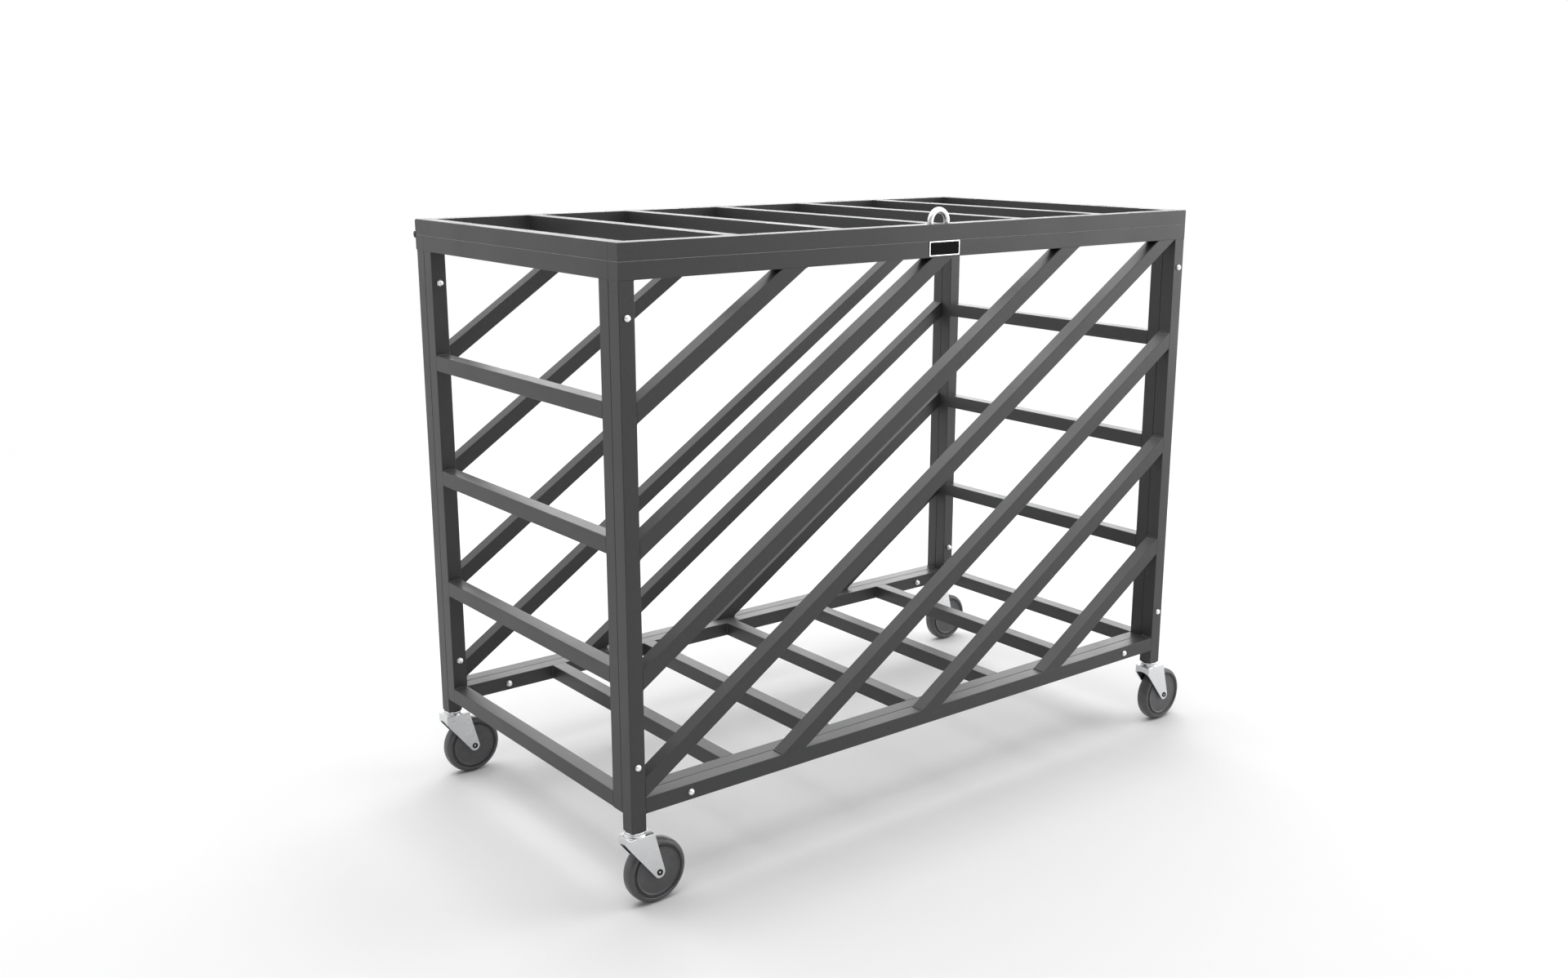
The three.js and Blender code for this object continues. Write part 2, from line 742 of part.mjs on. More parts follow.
const cart = new THREE.Group();
const staple = piece("padlock_staple", stapleGeometry(), zinc);
cart.add(
  ...sideFrames(),
  ...endPanels(),
  placed(piece("floor_frame", geometryOf(floorFrameSolid()), powderCoat), 0, 0, railHeight),
  placed(piece("lid_frame", geometryOf(lidFrameSolid()), powderCoat), 0, 0, lidHeight),
  hinge(),
  placed(staple, 0, -sideY, topRailHeight - tube / 2 + wall + fitGap),
  ...bolts(),
  ...casters(),
);

// The origin is the middle of the space that the cart takes up, at floor level.
const bounds = new THREE.Box3().setFromObject(cart, true);
const centre = bounds.getCenter(new THREE.Vector3());
cart.position.set(-centre.x, -centre.y, -bounds.min.z);

export default cart;
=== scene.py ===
"""Finishes the ball cart around its CAD model: tubes with rounded corners and welds, a pinned
hinge, zinc plated hardware, casters with turned wheels, and the stage. Laid out as an add-on and
run as a script. All lengths are in metres."""

import json
import math

import bmesh
import bpy
from bpy.props import FloatProperty, FloatVectorProperty, IntProperty, PointerProperty
from mathutils import Matrix, Vector


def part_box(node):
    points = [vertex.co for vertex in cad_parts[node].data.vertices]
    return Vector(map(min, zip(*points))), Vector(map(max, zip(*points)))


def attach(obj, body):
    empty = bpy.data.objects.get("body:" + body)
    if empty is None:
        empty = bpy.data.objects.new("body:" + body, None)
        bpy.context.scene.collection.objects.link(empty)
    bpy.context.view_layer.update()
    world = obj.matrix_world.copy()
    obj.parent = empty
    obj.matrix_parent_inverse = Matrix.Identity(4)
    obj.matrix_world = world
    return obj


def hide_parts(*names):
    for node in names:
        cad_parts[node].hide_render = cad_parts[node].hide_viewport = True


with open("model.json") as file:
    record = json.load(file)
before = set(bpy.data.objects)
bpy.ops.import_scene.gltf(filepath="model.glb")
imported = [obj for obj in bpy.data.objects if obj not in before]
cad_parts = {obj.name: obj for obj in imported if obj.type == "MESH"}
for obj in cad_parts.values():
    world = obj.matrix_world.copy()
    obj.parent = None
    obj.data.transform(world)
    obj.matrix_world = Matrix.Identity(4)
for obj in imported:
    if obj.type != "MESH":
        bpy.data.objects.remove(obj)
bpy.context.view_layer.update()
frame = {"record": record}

bl_info = {
    "name": "Ball Cart",
    "version": (1, 0, 0),
    "blender": (4, 5, 0),
    "location": "View3D > Sidebar > Ball Cart",
    "description": "Makes a ball cart of welded square tube on swivel casters",
    "category": "Add Mesh",
}

SIDES = ("front", "rear")
ENDS = ("left", "right")
CORNERS = [f"{side}_{end}" for side in SIDES for end in ENDS]
BODY_OF = {
    node: body
    for body, nodes in frame["record"]["behaviour"]["bodies"].items()
    for node in nodes
}
RIGHTWARD = Vector((1.0, 0.0, 0.0))
REARWARD = Vector((0.0, 1.0, 0.0))
UPWARD = Vector((0.0, 0.0, 1.0))


def low(node):
    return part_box(node)[0]


def high(node):
    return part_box(node)[1]


def middle(node):
    return (low(node) + high(node)) / 2


# Sizes that the CAD model gives
TUBE = high("front_left_leg").x - low("front_left_leg").x
FLOOR_TOP = high("front_bottom_rail").z
ROOF = low("front_top_rail").z
SEAM = high("front_top_rail").z
LEFT_EDGE = high("front_left_leg").x
RIGHT_EDGE = low("front_right_leg").x
RUNGS = 3
BAYS = 6

# Tests of closeness
SAME_PLACE = 1e-7  # points closer than this are made one
SAME_LEVEL = 1e-6
FACING = 0.99  # cosine of the most that a face may lean from the way it is said to face
FLAT = math.radians(0.5)  # faces that turn less than this are made one

# Tubes and welds
BORE_CORNER_SHARE = 1 / 3  # a tube's inside corner radius, of its outside one
CORNER_STEPS = 4
SOFT_EDGE = 32  # degrees that an edge may turn and still look smooth
ROD_SOFT_EDGE = 40
BEAD_SOFT_EDGE = 60
BEAD_STEPS = 8
BEAD_WAVE_SHARE = 0.07  # how deep a bead's ripples are, of its radius
BEAD_BODY_SHARE = 0.93
BEAD_END_SHARE = 0.72

# The pale strip that paints a highlight along the seam, and the staple's slot
HIGHLIGHT_STRIP_INSET_SHARE = 0.25  # how far the pale strip, a painted highlight, lies in from the seam, of the seam's corner
SLOT_STEPS = 8

# Hinge
BORE_GAP = 0.0002  # pin to a knuckle's bore
BORE_EDGE = 0.0003
BARREL_EDGE = 0.0006
PIN_EDGE = 0.0005
LEAF_EDGE_SHARE = 0.2  # rounding of a leaf's edges, of its thickness
RIVET_RADIUS = 0.0034
RIVET_HEIGHT = 0.0013
RIVET_DOME = 0.0011
RIVET_SINK = 0.0001  # how deep a rivet's head sits in its leaf

# Bolts
SHANK_RADIUS = 0.003
# Radius, height and fillet of the head, from its tip
BOLT_HEAD = (
    (0.0, 0.0, 0.0),
    (0.0053, 0.0, 0.0042),
    (0.0053, 0.0045, 0.0003),
    (SHANK_RADIUS, 0.0045, 0.0),
)
SHANK_SHORT = 0.004  # end of the shank to the nut's top
NUT_RADIUS = 0.0058
NUT_BASE = 0.003
NUT_EDGE = 0.0003
NUT_DOME_RADIUS = 0.0048
NUT_DOME_FOOT = 0.0026
NUT_DOME = 0.0044
NUT_HEIGHT = 0.008

# Casters, with heights above the end of the leg
KINGPIN_RADIUS = 0.005
# Radius, height over its foot and fillet of the kingpin's head
KINGPIN_HEAD = ((0.0, 0.0, 0.0), (0.008, 0.0, 0.0014), (0.008, 0.003, 0.0008))
UPPER_RACE_FOOT = -0.0037
UPPER_RACE_TOP = -0.0003
UPPER_RACE_EDGES = (0.0007, 0.0012)
PLUG_PLAY = 0.0006
PLUG_FOOT = -0.002
PLUG_CORNER = 0.0005
PLUG_EDGE = 0.0008
# Radius, height and fillet of the low cone that is pressed up from the fork's top
LOWER_RACE = (
    (0.0053, -0.0095, 0.0),
    (0.0172, -0.0095, 0.0),
    (0.0168, -0.0072, 0.0004),
    (0.0152, -0.0040, 0.0008),
    (0.0053, -0.0040, 0.0),
)
FORK_NOSE = -0.019  # front of the fork, from the swivel's axis
FORK_TAIL = 0.0246
FORK_TOP = -0.0076
FORK_WIDTH = 0.0318
TOE_RADIUS = 0.0091
ARCH_CUTS = 14
AXLE_SHAFT_RADIUS = 0.0039
AXLE_HEAD_HEIGHT = 0.0014
AXLE_HEAD_EDGE = 0.0007
DIMPLE_DEPTH = 0.0018
DIMPLE_FLOOR_RADIUS = 0.0012
DIMPLE_RADIUS = 0.0030
DIMPLE_EDGE = 0.0004
# Radius, half width and fillet of the wheel's hub
WHEEL_HUB = ((0.00425, 0.0128, 0.0), (0.0090, 0.0128, 0.0006), (0.0096, 0.0105, 0.0008))
# Radius in from the tread, half width and fillet of the disc's rim, the groove and the tyre
WHEEL_RIM = (
    (0.0158, 0.0105, 0.0004),
    (0.0142, 0.0116, 0.0004),
    (0.0132, 0.0116, 0.0004),
    (0.0122, 0.0082, 0.0008),
    (0.0100, 0.0082, 0.0008),
    (0.0080, 0.0120, 0.0010),
    (0.0050, 0.0120, 0.0024),
    (0.0012, 0.0086, 0.0030),
    (0.0, 0.0040, 0.0030),
)

# Bare plate
PLATE_SHIFT = 0.0017  # right of the staple's middle
PLATE_RIM = 0.0018
PLATE_CORNER = 0.0012
PLATE_EDGE = 0.0003
FIELD_CORNER = 0.0022
FIELD_STEPS = 6
FIELD_PROUD = 0.00015

# Stage
# Name, place, aim, size and radiance of each lamp
LAMPS = (
    ("top softbox", (0.3, 1.0, 4.2), (0.3, 1.0, 0.0), (6.4, 6.4), 2.5),
    ("right softbox", (3.4, -2.3, 1.3), (0.2, 0.0, 0.6), (2.4, 2.6), 2.2),
    ("back softbox", (4.1, 4.4, 1.15), (0.0, 0.0, 0.6), (6.0, 2.0), 4.8),
    ("left softbox", (-3.8, 4.0, 1.2), (0.0, 0.0, 0.6), (3.6, 2.4), 0.15),
)
CAMERA_PLACE = (-1.71645, -2.0698, 1.1449)
SENSOR_WIDTH = 36.0  # mm
FAR_CLIP = 200.0
FLOOR_REACH = 40.0
FLOOR_FADE_START = 1.6  # the floor turns white from here, measured from the cart's middle
FLOOR_FADE_END = 4.6
CAMERA_SIDE = (-0.78, -0.62, 0.0)  # the way from the cart to the camera
SHADE_START = 0.5  # cosine of the angle to that way where reflections start to darken
SHADE_END = 0.9
SHADED_WHITE = 0.2
WHITE = (1.0, 1.0, 1.0, 1.0)


def linear(code):
    """Turns an sRGB hex colour into the linear colour that a shader takes."""
    shares = [int(code[at : at + 2], 16) / 255 for at in (0, 2, 4)]
    return [s / 12.92 if s <= 0.04045 else ((s + 0.055) / 1.055) ** 2.4 for s in shares] + [1.0]


def length(name, description, default):
    return FloatProperty(
        name=name,
        description=description,
        default=default,
        min=0.0,
        precision=5,
        subtype="DISTANCE",
        unit="LENGTH",
    )


def colour(name, description, code):
    return FloatVectorProperty(
        name=name,
        description=description,
        default=linear(code),
        size=4,
        min=0.0,
        max=1.0,
        subtype="COLOR",
    )


class CartSizes(bpy.types.PropertyGroup):
    wall: length("Tube wall", "Wall of the square tube", 0.0016)
    corner: length("Tube corner", "Outside corner radius of the square tube", 0.0012)
    seam_corner: length("Seam corner", "Corner radius of the tubes that meet at the seam", 0.0005)
    cap_edge: length("Cap edge", "Rounding where a tube's end is welded shut", 0.0003)
    # The strip between the lid and the cage is pale, to paint a highlight along the seam
    highlight_strip_width: length("Seal width", "Width of the strip between the lid and the cage", 0.0030)
    highlight_strip_height: length("Seal height", "Thickness of the strip between lid and cage", 0.00025)
    bead: length("Weld bead", "Radius of a weld bead in an inside corner", 0.0017)
    ripple: length("Weld ripple", "Spacing of the ripples along a weld bead", 0.0032)
    slot_gap: length("Staple slot gap", "Slot in the lid to the padlock staple", 0.0008)
    slot_swing: length("Staple slot swing", "Extra slot that the lid's swing needs", 0.0021)
    leaf: length("Hinge leaf", "Thickness of a hinge leaf", 0.0025)
    knuckle_gap: length("Knuckle gap", "Gap between two knuckles of the hinge", 0.0005)
    knuckles: IntProperty(name="Knuckles", description="Knuckles of the hinge", default=19, min=3)
    rivets: IntProperty(name="Rivets", description="Rivets in each leaf", default=10, min=2)
    staple_rod: length("Staple rod", "Thickness of the padlock staple's rod", 0.0095)
    fork_sheet: length("Fork sheet", "Thickness of the caster fork's sheet steel", 0.0025)
    fork_bend: length("Fork bend", "Outside radius of the caster fork's bends", 0.0011)
    fork_lip: length("Fork lip", "Height of the caster fork's front web", 0.0145)
    fork_arch: length("Fork arch", "Rise of the arch under the fork's front web", 0.0030)
    plate_width: length("Plate width", "Width of the bare plate on the front rail", 0.0650)
    plate_height: length("Plate height", "Height of the bare plate", 0.0234)
    plate_depth: length("Plate depth", "Thickness of the bare plate", 0.0012)


class CartColours(bpy.types.PropertyGroup):
    coat: colour("Powder coat", "Dark grey powder coat of the tubes", "39393a")
    zinc: colour("Zinc plate", "Bright zinc plate of the hardware", "d7d8d9")
    bright: colour("Bright zinc", "Brushed bright zinc of the staple and bolts", "f6f6f6")
    hinge: colour("Hinge black", "Black finish of the hinge", "1c1c1d")
    rubber: colour("Wheel", "Moulded grey rubber of the wheels", "505052")
    # Pale, to paint the light line along the seam as a painted highlight
    seal: colour("Seal", "Pale strip between the lid and the cage", "d2d2d0")
    axle: colour("Axle", "Blackened steel of the axles", "2c2c2d")
    plate_rim: colour("Plate rim", "Bright rim of the bare plate", "ececec")
    plate_field: colour("Plate field", "Black enamel field of the bare plate", "0b0b0c")
    floor: colour("Floor", "Pale studio floor", "eaeaea")


class CartStage(bpy.types.PropertyGroup):
    lens: FloatProperty(name="Lens", description="Focal length in mm", default=35.07, min=1.0)
    yaw: FloatProperty(
        name="Yaw", description="Turn right of +Y", default=math.radians(37.93), subtype="ANGLE"
    )
    pitch: FloatProperty(
        name="Pitch", description="Tilt down", default=math.radians(13.70), subtype="ANGLE"
    )
    sky: FloatProperty(name="Sky", description="Strength of the room", default=0.25, min=0.0)


def cart_sizes():
    return bpy.context.scene.cart_sizes


# Shells: closed meshes that are made at the origin and then put in their place


def softened(shell, parts, radius, steps, kind="EDGES"):
    """Rounds edges of a shell, or the corners at its vertices."""
    bmesh.ops.bevel(
        shell, geom=parts, offset=radius, segments=steps, profile=0.5, affect=kind, material=-1
    )
    return shell


def outward(shell):
    """Turns every face of a closed shell outward."""
    bmesh.ops.recalc_face_normals(shell, faces=shell.faces[:])
    return shell


def verts_in(parts):
    return [part for part in parts if isinstance(part, bmesh.types.BMVert)]


def rounded_face(width, depth, corner, steps=CORNER_STEPS):
    """A flat rectangle with rounded corners, about the origin."""
    shell = bmesh.new()
    bmesh.ops.create_grid(shell, x_segments=1, y_segments=1, size=0.5)
    bmesh.ops.scale(shell, verts=shell.verts[:], vec=(width, depth, 1.0))
    return softened(shell, shell.verts[:], corner, steps, "VERTICES")


def ring_of(outer, inner):
    """A flat ring between two flat shapes."""
    add_shell(outer, inner)
    bmesh.ops.delete(outer, geom=outer.faces[:], context="FACES_ONLY")
    bmesh.ops.bridge_loops(outer, edges=outer.edges[:])
    return outer


def pulled(shell, distance):
    """Pulls a flat shape up along Z into a closed solid."""
    grown = bmesh.ops.extrude_face_region(shell, geom=shell.faces[:])
    bmesh.ops.translate(shell, verts=verts_in(grown["geom"]), vec=(0.0, 0.0, distance))
    return outward(shell)


def mesh_of(shell, name="shell"):
    mesh = bpy.data.meshes.new(name)
    shell.to_mesh(mesh)
    shell.free()
    return mesh


def add_shell(whole, shell, place=Matrix.Identity(4)):
    """Puts a shell in its place and adds it to the whole."""
    shell.transform(place)
    mesh = mesh_of(shell)
    whole.from_mesh(mesh)
    bpy.data.meshes.remove(mesh)
    return whole


def turned_to(point, way):
    """Where a shell made about Z goes to start at a point and run another way."""
    return Matrix.Translation(point) @ way.to_track_quat("Z", "Y").to_matrix().to_4x4()


def tube_bore():
    return TUBE - 2 * cart_sizes().wall


def add_tube(whole, start, end, corner=None):
    """Adds a square tube, open at both ends."""
    corner = corner or cart_sizes().corner
    start, way = Vector(start), Vector(end) - Vector(start)
    bore = rounded_face(tube_bore(), tube_bore(), corner * BORE_CORNER_SHARE)
    shell = pulled(ring_of(rounded_face(TUBE, TUBE, corner), bore), way.length)
    return add_shell(whole, shell, turned_to(start, way))


def bar_shell(width, depth, distance, corner, edge):
    """A closed bar along Z with rounded sides and softened ends."""
    shell = pulled(rounded_face(width, depth, corner), distance)
    ends = [face for face in shell.faces if abs(face.normal.z) > FACING]
    rims = dict.fromkeys(rim for face in ends for rim in face.edges)
    return softened(shell, list(rims), edge, 2)


def closed_rail(node, y):
    """A long rail along the seam, with its ends welded shut."""
    sizes = cart_sizes()
    left, right, z = low(node).x, high(node).x, middle(node).z
    shell = bar_shell(TUBE, TUBE, right - left, sizes.seam_corner, sizes.cap_edge)
    shell.transform(turned_to((left, y, z), RIGHTWARD))
    return shell


def carved(shell, cutter):
    """Cuts one closed shell out of another."""
    collection = bpy.context.scene.collection
    parts = [bpy.data.objects.new("carving", mesh_of(part)) for part in (shell, cutter)]
    for part in parts:
        collection.objects.link(part)
    carve = parts[0].modifiers.new("carve", "BOOLEAN")
    carve.operation = "DIFFERENCE"
    carve.solver = "EXACT"
    carve.object = parts[1]
    result = bmesh.new()
    result.from_object(parts[0], bpy.context.evaluated_depsgraph_get())
    for part in parts:
        bpy.data.meshes.remove(part.data)
    return result


def trimmed(shell, point, way):
    """Cuts a tube off on a plane and closes the cut across its wall."""
    bmesh.ops.bisect_plane(
        shell,
        geom=shell.verts[:] + shell.edges[:] + shell.faces[:],
        plane_co=point,
        plane_no=way,
        clear_outer=True,
    )
    bmesh.ops.bridge_loops(shell, edges=[edge for edge in shell.edges if edge.is_boundary])
    return outward(shell)


def smoothed(shell, degrees):
    """Shades a shell smooth, but for its edges that are sharper than the angle."""
    for face in shell.faces:
        face.smooth = True
    for edge in shell.edges:
        edge.smooth = not edge.is_manifold or edge.calc_face_angle(0.0) < math.radians(degrees)
    return shell


def spun(shell, parts, **settings):
    """Spins parts of a shell without shifting them."""
    return bmesh.ops.spin(
        shell, geom=parts, dvec=(0.0, 0.0, 0.0), use_duplicate=False, **settings
    )


def turned(profile, steps, fillet_steps=3):
    """Turns a profile about Z. Each of its points is a radius, a height and a fillet."""
    shell = bmesh.new()
    points = [shell.verts.new((radius, 0.0, height)) for radius, height, _ in profile]
    shell.faces.new(points)
    for point, (_, _, fillet) in zip(points, profile):
        if fillet:
            softened(shell, [point], fillet, fillet_steps, "VERTICES")
    bmesh.ops.delete(shell, geom=shell.faces[:], context="FACES_ONLY")
    on_axis = [edge for edge in shell.edges if all(abs(v.co.x) < SAME_PLACE for v in edge.verts)]
    bmesh.ops.delete(shell, geom=on_axis, context="EDGES")
    parts = shell.verts[:] + shell.edges[:]
    spun(shell, parts, cent=(0, 0, 0), axis=UPWARD, angle=math.tau, steps=steps, use_merge=True)
    bmesh.ops.remove_doubles(shell, verts=shell.verts[:], dist=SAME_PLACE)
    return smoothed(outward(shell), SOFT_EDGE)


def disc(radius, bottom, top, lower_edge, upper_edge):
    """The profile of a solid disc or rod, for turning."""
    rim = [(radius, bottom, lower_edge), (radius, top, upper_edge)]
    return [(0.0, bottom, 0.0), *rim, (0.0, top, 0.0)]


def mirrored(half):
    """A profile with its other half, which mirrors it."""
    return [*half, *((radius, -height, fillet) for radius, height, fillet in reversed(half))]


def prism(sides, radius, height):
    """A closed prism that stands on zero."""
    shell = bmesh.new()
    bmesh.ops.create_cone(
        shell,
        cap_ends=True,
        segments=sides,
        radius1=radius,
        radius2=radius,
        depth=height,
        matrix=Matrix.Translation((0.0, 0.0, height / 2)),
    )
    return shell


def add_bead(whole, spot, way):
    """Adds a rippled weld bead across a tube's flat, in an inside corner about a spot."""
    sizes = cart_sizes()
    distance = TUBE - 2 * sizes.corner
    rings = max(2, round(distance / sizes.ripple))
    bead = prism(BEAD_STEPS, sizes.bead, distance)
    lengthwise = [e for e in bead.edges if abs(e.verts[0].co.z - e.verts[1].co.z) > distance / 2]
    bmesh.ops.subdivide_edges(bead, edges=lengthwise, cuts=2 * rings - 1, use_grid_fill=True)
    for vert in bead.verts:
        wave = BEAD_WAVE_SHARE * math.cos(math.tau * rings * vert.co.z / distance)
        at_end = min(vert.co.z, distance - vert.co.z) < SAME_LEVEL
        share = (BEAD_END_SHARE if at_end else BEAD_BODY_SHARE) - wave
        vert.co.x *= share
        vert.co.y *= share
    place = turned_to(Vector(spot) - way * distance / 2, way)
    add_shell(whole, smoothed(bead, BEAD_SOFT_EDGE), place)


# Materials


def add_node(tree, kind, sockets=None, links=None, **settings):
    """Adds a node, with its settings, its sockets' values and the links into them."""
    node = tree.nodes.new(kind)
    for name, value in settings.items():
        setattr(node, name, value)
    for name, value in (sockets or {}).items():
        node.inputs[name].default_value = value
    for name, output in (links or {}).items():
        tree.links.new(output, node.inputs[name])
    return node


def grain(tree, size):
    """Noise in the piece's own space. The size is the width of its grains, or a pair of their
    length along X and their width."""
    place = add_node(tree, "ShaderNodeTexCoord").outputs["Object"]
    if isinstance(size, tuple):
        run, size = size
        stretch = {"Scale": (size / run, 1.0, 1.0)}
        place = add_node(tree, "ShaderNodeMapping", stretch, {"Vector": place}).outputs["Vector"]
    settings = {"Scale": 1.0 / size, "Detail": 2.0}
    return add_node(tree, "ShaderNodeTexNoise", settings, {"Vector": place}).outputs["Fac"]


def new_tree(owner):
    """The empty node tree of a material or world."""
    owner.use_nodes = True
    owner.node_tree.nodes.clear()
    return owner.node_tree


def new_material(name, finish, values, shade, gloss, *reliefs):
    """A material on one shader, in the colour of a finish. Its shade and its gloss are each the
    size of a grain with the lowest and the highest value that it brings. A relief is the size of
    a grain with a height, and lies on the one before."""
    if name in bpy.data.materials:
        return bpy.data.materials[name]
    material = bpy.data.materials.new(name)
    tree = new_tree(material)
    sizes = dict.fromkeys(look[0] for look in (shade, gloss, *reliefs))
    grains = {size: grain(tree, size) for size in sizes}
    lightness, roughness = [
        add_node(
            tree,
            "ShaderNodeMapRange",
            {**NOISE_MIDDLE, "To Min": lowest, "To Max": highest},
            {"Value": grains[size]},
        ).outputs["Result"]
        for size, lowest, highest in (shade, gloss)
    ]
    base = {0: getattr(bpy.context.scene.cart_colours, finish)[:3]}
    scale = {"Scale": lightness}
    tint = add_node(tree, "ShaderNodeVectorMath", base, scale, operation="SCALE")
    links = {"Base Color": tint.outputs["Vector"], "Roughness": roughness}
    normal = {}
    for size, height in reliefs:
        bump = {"Strength": 1.0, "Distance": height}
        under = {"Height": grains[size], **normal}
        normal = {"Normal": add_node(tree, "ShaderNodeBump", bump, under).outputs["Normal"]}
    shader = add_node(tree, "ShaderNodeBsdfPrincipled", values, {**links, **normal})
    add_node(tree, "ShaderNodeOutputMaterial", links={"Surface": shader.outputs["BSDF"]})
    return material


METAL = {"Metallic": 1.0}
NOISE_MIDDLE = {"From Min": 0.3, "From Max": 0.7}

# A grain, satin or brushing that is too fine to show at its real width, which is a few tenths of a
# millimetre at most, is drawn as coarse as it needs to show.


def powder_coat():
    """Polyester powder coat, sprayed and baked: an even dark grey with a faint orange peel and a
    fine grain, and a satin gloss that is strong at a flat angle."""
    satin = {"Specular IOR Level": 0.42}
    shade, gloss = (0.0016, 0.9, 1.1), (0.09, 0.37, 0.43)
    peel, fine = (0.0045, 0.00006), (0.0016, 0.00003)
    return new_material("satin_powder_coat", "coat", satin, shade, gloss, peel, fine)


def zinc_plate():
    """Bright zinc plate on pressed steel: pale and slightly blue, with soft clouds and a fine
    satin from the rolled sheet."""
    shade, gloss = (0.012, 0.98, 1.0), (0.012, 0.25, 0.28)
    satin = (0.0012, 0.00002)
    return new_material("zinc_plate", "zinc", METAL, shade, gloss, satin)


def bright_zinc():
    """Zinc plate that is tumbled to a whiter satin, on the staple and the bolts."""
    shade, gloss = (0.003, 0.97, 1.0), (0.003, 0.34, 0.4)
    satin = (0.0012, 0.00001)
    return new_material("bright_zinc", "bright", METAL, shade, gloss, satin)


def wheel_rubber():
    """Hard grey rubber, moulded: satin, with a fine mould texture and dust in its dull patches."""
    shade, gloss = (0.011, 0.88, 1.12), (0.011, 0.3, 0.38)
    texture = (0.0009, 0.00003)
    return new_material("moulded_grey_rubber", "rubber", {}, shade, gloss, texture)


def black_oxide():
    """Blackened steel with a faint oily sheen."""
    shade, gloss = (0.0025, 0.8, 1.15), (0.0025, 0.3, 0.45)
    relief = (0.0008, 0.00002)
    return new_material("black_oxide", "axle", METAL, shade, gloss, relief)


def black_hinge():
    """Rolled steel under black paint: satin, with lengthwise rolling marks."""
    marks = (0.03, 0.0015)
    shade, gloss = (0.02, 0.85, 1.15), (marks, 0.33, 0.47)
    relief = (marks, 0.00002)
    return new_material("black_hinge_paint", "hinge", {}, shade, gloss, relief)


def painted_seam_highlight():
    """A pale strip, dull and slightly mottled: a thin light line round the seam that is a painted
    highlight.
    """
    shade, gloss = (0.004, 0.94, 1.0), (0.004, 0.5, 0.65)
    relief = (0.001, 0.00002)
    return new_material("pale_silicone", "seal", {}, shade, gloss, relief)


def plate_rim():
    """Bright rolled aluminium with fine lengthwise brushing."""
    brushing = (0.015, 0.0006)
    shade, gloss = (brushing, 0.95, 1.0), (brushing, 0.2, 0.3)
    relief = (brushing, 0.00001)
    return new_material("brushed_aluminium", "plate_rim", METAL, shade, gloss, relief)


def plate_field():
    """Black printed enamel: dead matt, with a faint flow texture."""
    matt = {"Specular IOR Level": 0.08}
    shade, gloss = (0.003, 0.9, 1.1), (0.003, 0.6, 0.7)
    flow = (0.003, 0.00002)
    return new_material("black_enamel", "plate_field", matt, shade, gloss, flow)


# Pieces


def add_detail(name, whole, materials, body):
    """Makes a finished piece of a mesh, and lets it move with a body."""
    mesh = mesh_of(whole, name)
    for material in materials:
        mesh.materials.append(material)
    piece = bpy.data.objects.new(name, mesh)
    bpy.context.scene.collection.objects.link(piece)
    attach(piece, body)
    return piece


def add_piece(node, ending, whole, material):
    """Makes the finished piece that stands for a CAD node and moves with its body."""
    piece = add_detail(f"{node}_{ending}", whole, [material], BODY_OF[node])
    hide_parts(node)


def add_coated(node, whole, ending="tube"):
    add_piece(node, ending, whole, powder_coat())


def corners_of(node):
    return low(node), high(node), middle(node)


class CART_OT_legs(bpy.types.Operator):
    """Make the four legs, each an open tube"""

    bl_idname = "cart.legs"
    bl_label = "Legs"

    def execute(self, context):
        for corner in CORNERS:
            node = f"{corner}_leg"
            x, y, _ = middle(node)
            whole = add_tube(bmesh.new(), (x, y, low(node).z), (x, y, ROOF))
            add_bead(whole, (x - math.copysign(TUBE / 2, x), y, ROOF), REARWARD)
            add_coated(node, whole)
        return {"FINISHED"}


class CART_OT_rails(bpy.types.Operator):
    """Make the side frames' top and bottom rails"""

    bl_idname = "cart.rails"
    bl_label = "Side rails"

    def execute(self, context):
        for side in SIDES:
            node = f"{side}_top_rail"
            add_coated(node, closed_rail(node, middle(node).y))

            node = f"{side}_bottom_rail"
            base, top, centre = corners_of(node)
            ends = [Vector((x, centre.y, centre.z)) for x in (LEFT_EDGE, RIGHT_EDGE)]
            whole = add_tube(bmesh.new(), *ends)
            for end in ends:
                for z in (base.z, top.z):
                    add_bead(whole, (end.x, end.y, z), REARWARD)
            add_coated(node, whole)
        return {"FINISHED"}


def rung_heights():
    """Heights of the end panels' middle rails, from the lowest up."""
    gap = (ROOF - FLOOR_TOP - RUNGS * TUBE) / (RUNGS + 1)
    return [FLOOR_TOP + (rung + 1) * (gap + TUBE) - TUBE / 2 for rung in range(RUNGS)]


